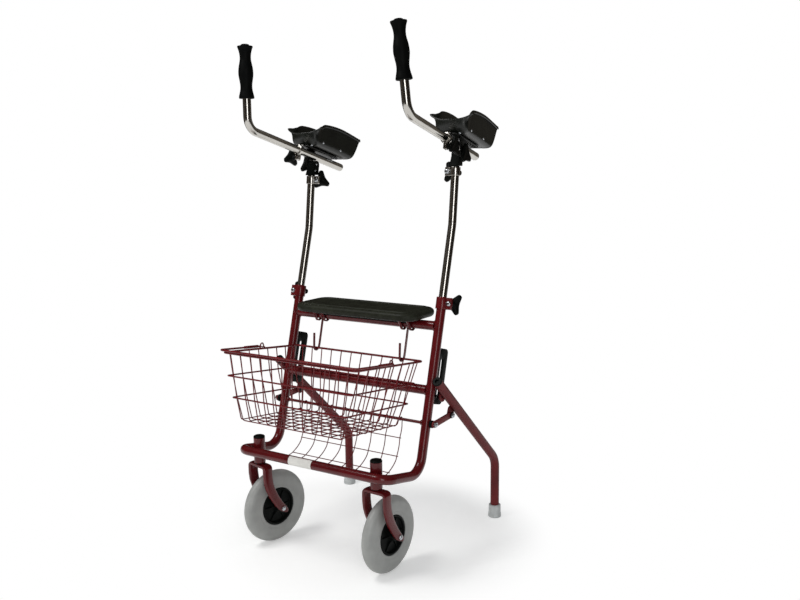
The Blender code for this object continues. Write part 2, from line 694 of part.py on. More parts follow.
def bracket(side_name, side, lift, top):
    """The black block on the pole's top: a stem down into the pole and a rounded pivot lug."""
    pivot_yz = Vector((TILT_PIVOT[0], TILT_PIVOT[1], 0.0)) + Vector((lift.y, lift.z, 0.0))
    base_z = top.z + 0.0025
    head = []
    for step in range(7):
        turn = math.radians(30 * step)
        head.append((pivot_yz.x + 0.012 * math.cos(turn), pivot_yz.y + 0.012 * math.sin(turn)))
    outline = head + [(top.y - 0.0140, base_z + 0.0180), (top.y - 0.0140, base_z),
                      (top.y + 0.0190, base_z), (top.y + 0.0190, base_z + 0.0180)]
    block = plate("bracket_" + side_name, outline, [circle(pivot_yz, 0.0043)], 0.025, side_place(top.x))
    join(block, rod("bracket_stem_" + side_name, top - POLE_UP * 0.055, top + POLE_UP * 0.008, 0.0090))
    cut(block, rod("bracket_pivot_hole_" + side_name, (top.x - 0.03, pivot_yz.x, pivot_yz.y),
                   (top.x + 0.03, pivot_yz.x, pivot_yz.y), 0.0043, 12))
    return finish(block, "black_plastic"), Vector((top.x, pivot_yz.x, pivot_yz.y))


def bar_plate(side_name, side, lift, tilt_point):
    """The plate under the trough, with the outboard cheek to the pivot and the bar's clip."""
    turn = Matrix((X_AXIS, ALONG_BAR, ABOVE_BAR)).transposed().to_4x4()
    middle = bar_point(side, lift, 0.127, 0.0170)
    outline = rounded_outline([(-0.022, -0.073), (0.022, -0.073), (0.022, 0.073), (-0.022, 0.073)], 0.006, 2)
    thing = plate("trough_plate_" + side_name, outline, [], 0.003, Matrix.Translation(middle) @ turn)
    top = bar_point(side, lift, 0.1075, 0.0165)
    cheek = []
    for step in range(7):
        angle = math.radians(180 + 30 * step)
        cheek.append((tilt_point.y + 0.014 * math.cos(angle), tilt_point.z + 0.014 * math.sin(angle)))
    rear = top + ALONG_BAR * 0.022
    fore = top - ALONG_BAR * 0.018
    cheek += [(rear.y, rear.z), (fore.y, fore.z)]
    x = side * (UPRIGHT_X + 0.0145)
    join(thing, plate("cheek_" + side_name, cheek, [], 0.0030, side_place(x)))
    cut(thing, rod("cheek_hole_" + side_name, (x - 0.005, tilt_point.y, tilt_point.z),
                   (x + 0.005, tilt_point.y, tilt_point.z), 0.0043, 12))
    clip = bar_point(side, lift, 0.0400, 0.0)
    half = 0.0075
    place = Matrix.Translation(clip) @ turn_to(ALONG_BAR)
    join(thing, turned("clip_ring_" + side_name,
                       [(0.0145, half), (0.0145, -half), (0.0070, -half), (0.0070, half)], 16, place))
    aligned = Matrix.Translation(clip) @ turn
    stalk = box("clip_stalk_" + side_name, (-0.006, -half, 0.012), (0.006, 0.0250, 0.0182))
    stalk.matrix_world = aligned @ stalk.matrix_basis
    join(thing, stalk)
    ears = box("clip_ears_" + side_name, (-0.0045, -half, -0.0285), (0.0045, half, -0.0120))
    ears.matrix_world = aligned @ ears.matrix_basis
    join(thing, ears)
    reach = ALONG_BAR * 0.03
    cut(thing, rod("clip_bore_" + side_name, clip - reach, clip + reach, BAR_RADIUS + 0.0004))
    slit = box("clip_slit_" + side_name, (-0.0012, -0.02, -0.035), (0.0012, 0.02, -0.0050))
    slit.matrix_world = aligned @ slit.matrix_basis
    cut(thing, slit)
    bolt = clip - ABOVE_BAR * 0.0212
    cut(thing, rod("clip_hole_" + side_name, bolt - X_AXIS * 0.02, bolt + X_AXIS * 0.02, 0.0032, 12))
    return finish(thing, "black_plastic"), bolt


def trough(side_name, side, lift):
    """The open forearm gutter: a raised front lip, humped sides and a slanted rear end."""
    wall = 0.003
    floor = 0.0188 + wall
    rows = [(0.0430, 0.0465, 0.0530, 0.0655, 0.047), (0.0500, 0.0560, 0.0330, 0.0700, 0.047),
            (0.0600, 0.0720, floor, 0.0770, 0.0475), (0.0950, 0.0990, floor, 0.0890, 0.0475),
            (0.1500, 0.1700, floor, 0.0890, 0.0475), (0.2130, 0.2560, floor, 0.0855, 0.0460)]
    shape = bmesh.new()
    grid = []
    for along_middle, along_edge, middle, edge, half_width in rows:
        line = []
        for column in range(-4, 5):
            share = abs(column) / 4
            spread = math.copysign(math.sin(share * math.pi / 2) ** 0.8, column) if column else 0.0
            rise = share ** 2.6
            along = along_middle + (along_edge - along_middle) * rise
            above = middle + (edge - middle) * rise
            spot = bar_point(side, lift, along, above) + X_AXIS * spread * half_width
            line.append(shape.verts.new(spot))
        grid.append(line)
    for near, far in zip(grid, grid[1:]):
        for column in range(8):
            shape.faces.new((near[column], near[column + 1], far[column + 1], far[column]))
    thing = from_bmesh("forearm_trough_" + side_name, shape)
    thicken = thing.modifiers.new("thicken", "SOLIDIFY")
    thicken.thickness = wall
    thicken.offset = -1.0
    return finish(thing, "black_plastic")


def forearm_bar(side_name, side, lift):
    """The chromed bar that carries the hand grip at its front end."""
    rear = bar_point(side, lift, (BAR_REAR_Y - BAR_PASSES[0]) / ALONG_BAR.y, 0.0)
    corner = bar_point(side, lift, (GRIP_Y - BAR_PASSES[0]) / ALONG_BAR.y, 0.0)
    top = Vector((corner.x, corner.y, GRIP_Z[1] - 0.018 + lift.z))
    thing = tube("forearm_bar_" + side_name, rounded([rear, corner, top], [0.030], 5), BAR_RADIUS)
    inner = rounded([rear + ALONG_BAR * 0.005, corner, top + Z_AXIS * 0.005], [0.030], 5)
    cut(thing, tube("forearm_bar_bore_" + side_name, inner, BAR_RADIUS - 0.0014))
    return finish(thing, "chrome"), corner


def hand_grip(side_name, corner, lift):
    """The moulded upright hand grip, flared at both ends and swelling in the palm."""
    length = GRIP_Z[1] - GRIP_Z[0]
    widths = [(0.0, 0.019), (0.03, 0.020), (0.14, 0.0155), (0.30, 0.0170), (0.48, 0.0195), (0.66, 0.0170),
              (0.84, 0.0145), (0.96, 0.0195), (1.0, 0.0185)]
    outside = [(radius, share * length) for share, radius in reversed(widths)]
    bore = BAR_RADIUS + 0.0004
    profile = [(0.0, length)] + outside + [(bore, 0.0), (bore, length - 0.017), (0.0, length - 0.017)]
    place = Matrix.Translation((corner.x, corner.y, GRIP_Z[0] + lift.z))
    return finish(turned("hand_grip_" + side_name, profile, 16, place), "black_plastic")


def forearm_unit(side_name, side, frame):
    lift = UP * (HOLE_PITCH if side > 0 else 0.0)
    outboard = X_AXIS * side

    collar_centre = upright_point(0.6705, side)
    frame_collar = clamp_collar("frame_collar_" + side_name, collar_centre, UP, TUBE_RADIUS + CLEARANCE, 0.0158,
                                0.031, outboard, 0.0300, 0.0220, "burgundy_paint")
    seat_point = collar_centre + outboard * 0.0220 + UP * 0.002
    frame_knob = clamp_knob("frame_knob_" + side_name, seat_point, BEHIND, 0.0053, 0.0290, UP)
    frame_turn = pivot("frame_knob_turn_" + side_name, seat_point)
    carry(frame_turn, frame_knob)
    carry(frame, frame_collar, frame_turn)

    shaft = pole(side_name, side, lift)
    bottom, bend, top = pole_path(side, lift)
    slide = pivot("pole_slide_" + side_name, bottom)
    collar_spot = top - POLE_UP * 0.0115
    top_collar = clamp_collar("top_collar_" + side_name, collar_spot, POLE_UP, POLE_RADIUS + CLEARANCE, 0.0138,
                              0.022, -outboard, 0.0290, 0.0220, "chrome")
    knob_seat = collar_spot - outboard * 0.0220
    top_knob = clamp_knob("top_knob_" + side_name, knob_seat, POLE_BEHIND, 0.0053, 0.0240, POLE_UP)
    top_turn = pivot("top_knob_turn_" + side_name, knob_seat, slide)
    carry(top_turn, top_knob)
    carry(slide, shaft, top_collar)
    carry(frame, slide)

    block, tilt_point = bracket(side_name, side, lift, top)
    swivel = pivot("bracket_swivel_" + side_name, top, slide)
    carry(swivel, block)

    carrier, bolt_point = bar_plate(side_name, side, lift, tilt_point)
    gutter = trough(side_name, side, lift)
    tilt = pivot("trough_tilt_" + side_name, tilt_point, swivel)
    carry(tilt, carrier, gutter)
    tilt_knob = clamp_knob("tilt_knob_" + side_name, tilt_point, outboard, 0.0163, 0.0290, Z_AXIS)
    tilt_turn = pivot("tilt_knob_turn_" + side_name, tilt_point, tilt)
    carry(tilt_turn, tilt_knob)
    clip_knob = clamp_knob("clip_knob_" + side_name, bolt_point, outboard, 0.0048, 0.0290, ABOVE_BAR)
    clip_turn = pivot("clip_knob_turn_" + side_name, bolt_point, tilt)
    carry(clip_turn, clip_knob)

    bar, corner = forearm_bar(side_name, side, lift)
    grip = hand_grip(side_name, corner, lift)
    bar_slide = pivot("bar_slide_" + side_name, corner, tilt)
    carry(bar_slide, bar, grip)

    swivel_turn, tilt_turn_by, bar_turn, slid_back = UNIT_STANCE[side_name]
    bar_slide.matrix_world = Matrix.Translation(ALONG_BAR * slid_back) @ bar_slide.matrix_world
    swing(bar_slide, ALONG_BAR, bar_turn)
    swing(tilt, X_AXIS, tilt_turn_by)
    swing(swivel, POLE_UP, swivel_turn)


def build():
    frame = pivot("frame", (0.0, 0.0, 0.0))
    carry(frame, front_frame(), seat_crossbar(), middle_crossbar(), lower_rod(), storage_net(), seat())
    lift_off = pivot("basket_lift", (0.0, 0.0, 0.5))
    handle_turn = pivot("handle_turn", (0.0, 0.0450, 0.5449), lift_off)
    carry(lift_off, basket())
    carry(handle_turn, basket_handle())
    carry(frame, lift_off)
    for side_name, side in SIDES.items():
        carry(frame, guide_plate(side_name))
        castor(side_name, side, frame)
        rear_leg(side_name, side, frame)
        forearm_unit(side_name, side, frame)
    frame.location.y = -MIDDLE_Y


clear_scene()
PARTS = new_collection("forearm_support_walker")
CUTTERS = new_collection("cutters")
build()
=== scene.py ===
import math

import bpy
from mathutils import Matrix, Vector


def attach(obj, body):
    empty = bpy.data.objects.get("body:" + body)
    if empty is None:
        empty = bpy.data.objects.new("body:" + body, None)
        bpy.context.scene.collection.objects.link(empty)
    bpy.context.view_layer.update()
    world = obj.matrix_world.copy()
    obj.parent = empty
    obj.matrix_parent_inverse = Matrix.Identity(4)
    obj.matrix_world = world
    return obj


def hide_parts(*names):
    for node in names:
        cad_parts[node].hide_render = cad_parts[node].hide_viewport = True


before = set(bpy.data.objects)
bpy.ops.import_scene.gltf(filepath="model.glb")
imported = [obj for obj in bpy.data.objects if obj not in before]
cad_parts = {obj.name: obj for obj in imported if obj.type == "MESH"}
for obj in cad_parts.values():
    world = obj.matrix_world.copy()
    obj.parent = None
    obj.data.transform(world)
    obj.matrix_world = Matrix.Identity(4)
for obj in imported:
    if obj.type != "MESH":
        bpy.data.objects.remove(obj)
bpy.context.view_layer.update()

SIDES = (("left", 1.0), ("right", -1.0))

# Studio. The photograph's own camera, a white floor that runs out of sight, soft lamps for the
# soft shadows, and dark felt cards that stand round the set, which only gloss and metal reflect.
EYE = (1.395, -1.9491, 1.0403)
HEADING, PITCH, ROLL = 32.907, -8.894, -0.609
LENS_PIXELS, PICTURE_WIDTH = 891.0, 800.0
FLOOR_WHITE = "#f0f0ee"
FLOOR_LIFT = 0.30
SHADED_RADIUS, WHITE_RADIUS = 0.34, 0.54


def linear(colour):
    """A colour written as sRGB hex, turned to the shader's linear numbers."""
    parts = [int(colour[start:start + 2], 16) / 255 for start in (1, 3, 5)]
    return [part / 12.92 if part < 0.0405 else ((part + 0.055) / 1.055) ** 2.4 for part in parts] + [1.0]


def add(tree, kind, settings=(), links=()):
    """A node with its settings and links: an input's name or number, or the node's own property."""
    made = tree.nodes.new(kind)
    for name, value in dict(settings).items():
        if isinstance(name, str) and hasattr(made, name):
            setattr(made, name, value)
        else:
            made.inputs[name].default_value = value
    for name, source in dict(links).items():
        tree.links.new(source, made.inputs[name])
    return made


def seen_directly(tree):
    """1 for rays from the camera, or by way of metal or glass, and 0 for light that falls on things."""
    path = add(tree, "ShaderNodeLightPath")
    mirror = add(tree, "ShaderNodeMath", {"operation": "MAXIMUM"},
                 {0: path.outputs["Is Camera Ray"], 1: path.outputs["Is Glossy Ray"]})
    return add(tree, "ShaderNodeMath", {"operation": "MAXIMUM"},
               {0: mirror.outputs[0], 1: path.outputs["Is Transmission Ray"]}).outputs[0]


bpy.ops.object.select_all(action="DESELECT")
turn = (Matrix.Rotation(math.radians(HEADING), 4, "Z") @ Matrix.Rotation(math.radians(90 + PITCH), 4, "X")
        @ Matrix.Rotation(math.radians(ROLL), 4, "Z"))
bpy.ops.object.camera_add()
camera = bpy.context.object
camera.matrix_world = Matrix.Translation(EYE) @ turn
camera.data.sensor_width = 36.0
camera.data.lens = camera.data.sensor_width * LENS_PIXELS / PICTURE_WIDTH
bpy.context.scene.camera = camera
bpy.context.scene.view_settings.view_transform = "Standard"

world = bpy.data.worlds.new("studio")
bpy.context.scene.world = world
world.use_nodes = True
air = world.node_tree
air.nodes.clear()
dim = add(air, "ShaderNodeBackground", {"Color": linear("#e9ebee"), "Strength": 0.50})
white = add(air, "ShaderNodeBackground", {"Color": (1, 1, 1, 1), "Strength": 1.0})
both = add(air, "ShaderNodeMixShader", {}, {0: seen_directly(air), 1: dim.outputs[0], 2: white.outputs[0]})
add(air, "ShaderNodeOutputWorld", {}, {"Surface": both.outputs[0]})

bpy.ops.mesh.primitive_plane_add(size=60.0, location=(0.0, 0.0, 0.0))
floor = bpy.context.object
floor.name = "studio_floor"
paper = bpy.data.materials.new("matt white studio paper")
paper.use_nodes = True
sheet = paper.node_tree
sheet.nodes.clear()
matt = add(sheet, "ShaderNodeBsdfDiffuse", {"Color": linear(FLOOR_WHITE)})
lift = add(sheet, "ShaderNodeEmission", {"Color": (1, 1, 1, 1), "Strength": FLOOR_LIFT})
lifted = add(sheet, "ShaderNodeAddShader", {}, {0: matt.outputs[0], 1: lift.outputs[0]})
blank = add(sheet, "ShaderNodeEmission", {"Color": (1, 1, 1, 1), "Strength": 1.0})
spot = add(sheet, "ShaderNodeTexCoord")
reach = add(sheet, "ShaderNodeVectorMath", {"operation": "LENGTH"}, {0: spot.outputs["Object"]})
fade = add(sheet, "ShaderNodeMapRange", {1: SHADED_RADIUS, 2: WHITE_RADIUS, "interpolation_type": "SMOOTHSTEP"},
           {0: reach.outputs["Value"]})
faded = add(sheet, "ShaderNodeMixShader", {}, {0: fade.outputs[0], 1: lifted.outputs[0], 2: blank.outputs[0]})
mixed = add(sheet, "ShaderNodeMixShader", {}, {0: seen_directly(sheet), 1: matt.outputs[0], 2: faded.outputs[0]})
add(sheet, "ShaderNodeOutputMaterial", {}, {"Surface": mixed.outputs[0]})
floor.data.materials.append(paper)

LAMPS = (("overhead_softbox", (-0.9, -1.3, 2.9), (0.0, 0.05, 0.3), 1.0, 1.0, 36.0),
         ("front_strip", (2.14, -2.38, 1.35), (0.0, 0.0, 0.6), 0.55, 2.1, 14.0),
         ("left_fill", (-1.2, -2.6, 1.5), (0.0, 0.0, 0.6), 0.60, 1.8, 12.0))
for name, spot, aim, wide, tall, power in LAMPS:
    bpy.ops.object.light_add(type="AREA", location=spot)
    lamp = bpy.context.object
    lamp.name = name
    lamp.data.shape = "RECTANGLE"
    lamp.data.size = wide
    lamp.data.size_y = tall
    lamp.data.energy = power
    lamp.visible_camera = False
    lamp.visible_glossy = name != "left_fill"
    lamp.rotation_euler = (Vector(aim) - Vector(spot)).to_track_quat("-Z", "Y").to_euler()

CARD_DISTANCE, CARD_LOW, CARD_TALL, CEILING_Z = 3.4, -0.05, 3.3, 3.6
CARDS = ((-79, 38, "#2b2622"), (-18, 36, "#342e29"), (24, 48, "#1f1c1a"), (72, 48, "#5e5952"), (120, 48, "#26221f"),
         (168, 48, "#2e2a27"), (215, 46, "#4a443d"), (250, 24, "#332e29"))
places = []
for bearing, spread, shade in CARDS:
    angle, half = math.radians(bearing), math.radians(spread / 2)
    middle = Vector((math.cos(angle), math.sin(angle), 0.0)) * CARD_DISTANCE
    places.append((middle + Vector((0.0, 0.0, CARD_LOW + CARD_TALL / 2)),
                   (math.radians(90), 0.0, angle + math.radians(90)),
                   (2 * CARD_DISTANCE * math.tan(half), CARD_TALL, 1.0), shade))
places.append(((0.0, 0.0, CEILING_Z), (0.0, 0.0, 0.0), (8.0, 8.0, 1.0), "#55514a"))
for number, (spot, turns, size, shade) in enumerate(places):
    bpy.ops.mesh.primitive_plane_add(size=1.0, location=spot, rotation=turns)
    card = bpy.context.object
    card.name = f"felt_card_{number}"
    card.scale = size
    felt = bpy.data.materials.new(f"brown felt card {number}")
    felt.use_nodes = True
    felt.node_tree.nodes.clear()
    glow = add(felt.node_tree, "ShaderNodeEmission", {"Color": linear(shade), "Strength": 1.0})
    add(felt.node_tree, "ShaderNodeOutputMaterial", {}, {"Surface": glow.outputs[0]})
    card.data.materials.append(felt)
    for ray in ("camera", "diffuse", "transmission", "shadow", "volume_scatter"):
        setattr(card, "visible_" + ray, False)

# Front frame. 25 mm steel tube, bent in one length, with a glossy burgundy powder coat: an even,
# deep colour under a clear skin with a faint orange peel, and a small weld bead at every joint.
UPRIGHT_X, FOOT_Y, SLOPE, TUBE_TOP_Z = 0.2375, -0.1418, 0.273, 0.684
SIDE_BEND, CORNER_BEND = 0.048, 0.034
LOW_BEND, FRONT_BAR = (-0.0766, 0.2388), (-0.2344, 0.2723)
TUBE_RADIUS = 0.0125
SEAT_BAR_Z, MIDDLE_BAR_Z = 0.612, 0.4493
UP = Vector((0.0, SLOPE, 1.0)).normalized()
BEHIND = Vector((0.0, 1.0, -SLOPE)).normalized()
X_AXIS, Z_AXIS = Vector((1.0, 0.0, 0.0)), Vector((0.0, 0.0, 1.0))


def surface(name, colour, shade, mottle, grain, bump, gloss, metallic=0.0, coat=0.0, specular=0.5):
    """A finish of two tones mottled over `mottle` metres, with a grain of `grain` metres that
    lifts the surface by `bump`, and a roughness between the two numbers of `gloss`."""
    material = bpy.data.materials.new(name)
    material.use_nodes = True
    tree = material.node_tree
    shader = tree.nodes["Principled BSDF"]
    shader.inputs["Metallic"].default_value = metallic
    shader.inputs["Coat Weight"].default_value = coat
    shader.inputs["Coat Roughness"].default_value = 0.06
    shader.inputs["Specular IOR Level"].default_value = specular
    place = add(tree, "ShaderNodeTexCoord").outputs["Object"]
    cloud = add(tree, "ShaderNodeTexNoise", {"Scale": 1 / mottle, "Detail": 4.0}, {"Vector": place})
    share = add(tree, "ShaderNodeMapRange", {1: 0.35, 2: 0.65}, {0: cloud.outputs["Fac"]})
    tone = add(tree, "ShaderNodeMix", {"data_type": "RGBA", 6: linear(colour), 7: linear(shade)},
               {0: share.outputs[0]})
    tree.links.new(tone.outputs[2], shader.inputs["Base Color"])
    fine = add(tree, "ShaderNodeTexNoise", {"Scale": 1 / grain, "Detail": 2.0}, {"Vector": place})
    worn = add(tree, "ShaderNodeMapRange", {1: 0.3, 2: 0.7, 3: gloss[0], 4: gloss[1]}, {0: fine.outputs["Fac"]})
    tree.links.new(worn.outputs[0], shader.inputs["Roughness"])
    peel = add(tree, "ShaderNodeBump", {"Strength": 1.0, "Distance": bump}, {"Height": fine.outputs["Fac"]})
    tree.links.new(peel.outputs[0], shader.inputs["Normal"])
    return material


def rounded(corners, radii, steps=8):
    """The corner points, with an arc of the given radius at each inner corner."""
    points = [Vector(corners[0])]
    for before, corner, after, radius in zip(corners, corners[1:], corners[2:], radii):
        corner = Vector(corner)
        back = (Vector(before) - corner).normalized()
        ahead = (Vector(after) - corner).normalized()
        half = back.angle(ahead) / 2
        centre = corner + (back + ahead).normalized() * radius / math.sin(half)
        start = corner + back * radius / math.tan(half) - centre
        end = corner + ahead * radius / math.tan(half) - centre
        points += [centre + radius * start.slerp(end, step / steps) for step in range(steps + 1)]
    return points + [Vector(corners[-1])]


def alone(piece):
    bpy.ops.object.select_all(action="DESELECT")
    piece.select_set(True)
    bpy.context.view_layer.objects.active = piece


FACED_OUT = ("normals_make_consistent", {"inside": False})


def in_edit(piece, *steps):
    """Runs mesh operators on all of a piece in edit mode."""
    alone(piece)
    bpy.ops.object.mode_set(mode="EDIT")
    bpy.ops.mesh.select_all(action="SELECT")
    for step, settings in steps:
        getattr(bpy.ops.mesh, step)(**settings)
    bpy.ops.object.mode_set(mode="OBJECT")


def drawn(name, runs, radius, sides=12, closed=False):
    """Wire or tube drawn along each run of points."""
    curve = bpy.data.curves.new(name, "CURVE")
    curve.dimensions = "3D"
    curve.bevel_depth = radius
    curve.bevel_resolution = sides // 2 - 2
    curve.use_fill_caps = not closed
    for run in runs:
        spline = curve.splines.new("POLY")
        spline.points.add(len(run) - 1)
        spline.use_cyclic_u = closed
        for knot, point in zip(spline.points, run):
            knot.co = (*point, 1.0)
    piece = bpy.data.objects.new(name, curve)
    bpy.context.scene.collection.objects.link(piece)
    alone(piece)
    bpy.ops.object.convert(target="MESH")
    piece = bpy.context.object
    in_edit(piece, ("remove_doubles", {"threshold": 0.00001}), FACED_OUT)
    return piece


def fit(piece, finish, body, slot, *stands_for, smooth=35):
    """Gives a piece its finish, rounds its shading, and fixes it to its body."""
    piece.data.materials.clear()
    piece.data.materials.append(finish)
    alone(piece)
    bpy.ops.object.transform_apply(location=True, rotation=True, scale=True)
    bpy.ops.object.shade_smooth_by_angle(angle=math.radians(smooth))
    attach(piece, body)
    if stands_for:
        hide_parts(*stands_for)
    return piece


def joined(name, pieces):
    alone(pieces[0])
    for piece in pieces:
        piece.select_set(True)
    bpy.ops.object.join()
    piece = bpy.context.object
    piece.name = name
    return piece


def upright(side, z):
    return Vector((side * UPRIGHT_X, FOOT_Y + SLOPE * z, z))


def weld_bead(z, side):
    """The ring where a cross tube meets an upright, in slightly uneven ripples."""
    middle = upright(side, z)
    ring = []
    for step in range(48):
        angle = math.tau * step / 48
        swell = TUBE_RADIUS + 0.0006 + 0.0003 * math.sin(12 * angle)
        ring.append(middle + BEHIND * swell * math.cos(angle) + UP * swell * math.sin(angle)
                    - X_AXIS * side * swell * abs(math.sin(angle)) ** 0.9)
    return ring


burgundy = surface("glossy burgundy powder coat on steel", "#5f0f13", "#520b0f", 0.05, 0.0016, 0.00003,
                   (0.22, 0.32), coat=0.25, specular=0.28)
sides_up = [upright(1.0, TUBE_TOP_Z), Vector((UPRIGHT_X, *LOW_BEND)), Vector((UPRIGHT_X, *FRONT_BAR))]
sides_down = [Vector((-UPRIGHT_X, *FRONT_BAR)), Vector((-UPRIGHT_X, *LOW_BEND)), upright(-1.0, TUBE_TOP_Z)]
bent = rounded(sides_up + sides_down, [SIDE_BEND, CORNER_BEND, CORNER_BEND, SIDE_BEND], 14)
fit(drawn("front_frame_tube", [bent], TUBE_RADIUS, 28), burgundy, "frame", "burgundy_paint", "front_frame")

POLE_CLEAR = 0.0112
for bar_name, height in (("seat_crossbar", SEAT_BAR_Z), ("middle_crossbar", MIDDLE_BAR_Z)):
    ends = [upright(side, height) - X_AXIS * side * POLE_CLEAR for side in (-1.0, 1.0)]
    fit(drawn(bar_name + "_tube", [ends], TUBE_RADIUS, 28), burgundy, "frame", "burgundy_paint", bar_name)
    beads = drawn(bar_name + "_welds", [weld_bead(height, side) for side in (-1.0, 1.0)], 0.0014, 8, True)
    fit(beads, burgundy, "frame", "burgundy_paint")

# Basket hooks. 6 mm steel wire bent to a J, its upper end welded under the seat tube between two
# short saddle straps that hold the seat, all coated with the frame.
HOOK_X, HOOK_WIRE = 0.143, 0.0031
HOOK_LINE = ((0.0240, 0.6030), (0.0212, 0.5915), (0.0121, 0.5557), (0.0035, 0.5250), (-0.0022, 0.5181),
             (-0.0102, 0.5158), (-0.0170, 0.5200), (-0.0188, 0.5280), (-0.0168, 0.5649))
STRAP_SHIFT, STRAP_WIDTH, STRAP_THICK = 0.0135, 0.0085, 0.0022
STRAP_LINE = ((-0.0080, 0.6300), (0.0080, 0.6090), (0.0135, 0.5985), (0.0195, 0.5945), (0.0270, 0.5960),
              (0.0330, 0.6020), (0.0400, 0.6290))


def neighbours(items, index):
    """The item, the one before it and the two after it, or the last one there is."""
    return [items[min(max(index + step, 0), len(items) - 1)] for step in (-1, 0, 1, 2)]


def on_curve(before, start, end, after, t):
    """The value at a share t of the way from start to end, on a smooth curve through all four."""
    return 0.5 * (2 * start + (end - before) * t + (2 * before - 5 * start + 4 * end - after) * t * t
                  + (3 * start - 3 * end + after - before) * t ** 3)


def smoothed(points, steps=5):
    """Points put between the given ones, on one smooth curve through them all."""
    points = [Vector(point) for point in points]
    line = []
    for index in range(len(points) - 1):
        line += [on_curve(*neighbours(points, index), step / steps) for step in range(steps)]
    return line + [points[-1]]


def meshed(name, points, faces, edges=()):
    """A new piece with this mesh."""
    mesh = bpy.data.meshes.new(name)
    mesh.from_pydata(points, edges, faces)
    piece = bpy.data.objects.new(name, mesh)
    bpy.context.scene.collection.objects.link(piece)
    return piece


def ribbon(name, line, across, width, thick):
    """A flat strip that follows the line, with softened edges."""
    line = smoothed(line, 4)
    half = across.normalized() * width / 2
    points = [point - half for point in line] + [point + half for point in line]
    count = len(line)
    piece = meshed(name, points, [(index, index + 1, count + index + 1, count + index) for index in range(count - 1)])
    shape(piece, ("SOLIDIFY", {"thickness": thick, "offset": 0.0}),
          ("BEVEL", {"width": thick * 0.3, "segments": 2, "limit_method": "ANGLE"}))
    in_edit(piece, FACED_OUT)
    return piece


def shape(piece, *changes):
    """Adds modifiers with their settings and applies them in turn."""
    alone(piece)
    for kind, settings in changes:
        change = piece.modifiers.new(kind.lower(), kind)
        for name, value in settings.items():
            setattr(change, name, value)
        bpy.ops.object.modifier_apply(modifier=change.name)


hooks = [smoothed([(side * HOOK_X, y, z) for y, z in HOOK_LINE]) for side in (1.0, -1.0)]
fit(drawn("basket_hooks", hooks, HOOK_WIRE, 10), burgundy, "frame", "burgundy_paint")
for side_name, side in SIDES:
    for place_name, shift in (("inner", -STRAP_SHIFT), ("outer", STRAP_SHIFT)):
        x = side * (HOOK_X + shift)
        strap = ribbon(f"seat_strap_{place_name}_{side_name}", [(x, y, z) for y, z in STRAP_LINE], X_AXIS,
                       STRAP_WIDTH, STRAP_THICK)
        fit(strap, burgundy, "frame", "burgundy_paint")

# Lower rod. 8 mm steel rod across both uprights, painted with the frame, with a black nylon bush
# and a zinc-plated lock nut outside each upright, where the folding links turn.
ROD_RADIUS, ROD_HALF, ROD_Y, ROD_Z = 0.004, 0.2655, -0.0415, 0.3673
BUSH = ((0.0070, 0.2503), (0.0095, 0.2506), (0.0100, 0.2515), (0.0100, 0.2572), (0.0095, 0.2580),
        (0.0070, 0.2582))
NUT_RADIUS, NUT_START, NUT_END = 0.0073, 0.2636, 0.2692


def moved(piece, place):
    piece.matrix_world = place
    alone(piece)
    bpy.ops.object.transform_apply(location=True, rotation=True, scale=True)
    return piece


def turned(name, profile, place, sides=32):
    """A part turned on a lathe: (radius, height) points spun round the place's own upright axis."""
    edges = [(index, index + 1) for index in range(len(profile) - 1)]
    if profile[0][0] > 0 and profile[-1][0] > 0:
        edges.append((len(profile) - 1, 0))
    piece = meshed(name, [(radius, 0.0, height) for radius, height in profile], [], edges)
    in_edit(piece, ("spin", {"steps": sides, "angle": math.tau, "center": (0, 0, 0), "axis": (0, 0, 1)}),
            ("select_all", {"action": "SELECT"}), ("remove_doubles", {"threshold": 0.00002}), FACED_OUT)
    return moved(piece, place)


def aimed(spot, direction):
    """A place at the spot whose own upright axis points along the direction."""
    return Matrix.Translation(spot) @ direction.to_track_quat("Z", "Y").to_matrix().to_4x4()


def hex_nut(name, place, radius, start, end, bolt=0.0):
    """A chamfered hexagon nut with the rounded end of its bolt showing."""
    bevel = radius * 0.12
    profile = [(0.0, start), (radius, start), (radius, end - bevel), (radius * 0.88, end), (0.0, end)]
    nut = turned(name, profile, place, 6)
    if bolt:
        tail = [(0.0, end - 0.001), (bolt, end - 0.001), (bolt, end + 0.0012), (bolt * 0.7, end + 0.0022),
                (0.0, end + 0.0024)]
        nut = joined(name, [nut, turned(name + "_bolt", tail, place, 16)])
    return nut


zinc = surface("bright zinc-plated steel", "#c3c6ca", "#a9adb2", 0.004, 0.0006, 0.00002, (0.20, 0.34), 1.0)
nylon = surface("black moulded nylon", "#0a0c0b", "#0f1210", 0.012, 0.0009, 0.00004, (0.34, 0.48), specular=0.06)
rod_middle = Vector((0.0, ROD_Y, ROD_Z))
fit(drawn("lower_rod_bar", [[rod_middle - X_AXIS * ROD_HALF, rod_middle + X_AXIS * ROD_HALF]], ROD_RADIUS, 16),
    burgundy, "frame", "burgundy_paint", "lower_rod")
for side_name, side in SIDES:
    place = aimed(rod_middle, X_AXIS * side)
    fit(turned("rod_bush_" + side_name, BUSH, place, 28), nylon, "frame", "black_plastic")
    fit(hex_nut("rod_nut_" + side_name, place, NUT_RADIUS, NUT_START, NUT_END, 0.0035), zinc, "frame",
        "zinc_fastener", smooth=25)
    collar = [(ROD_RADIUS, 0.2210), (0.0062, 0.2212), (0.0070, 0.2225), (0.0070, 0.2262), (ROD_RADIUS, 0.2270)]
    fit(turned("rod_collar_" + side_name, collar, place, 24), burgundy, "frame", "burgundy_paint")

# Label. Thin white vinyl, stuck round the front of the front bar near its middle, with nothing
# printed on it.
LABEL_FROM, LABEL_TO, LABEL_LIFT = -0.0585, 0.0160, 0.00025
LABEL_TURN = (-62.0, 62.0)
rows, columns = 15, 9


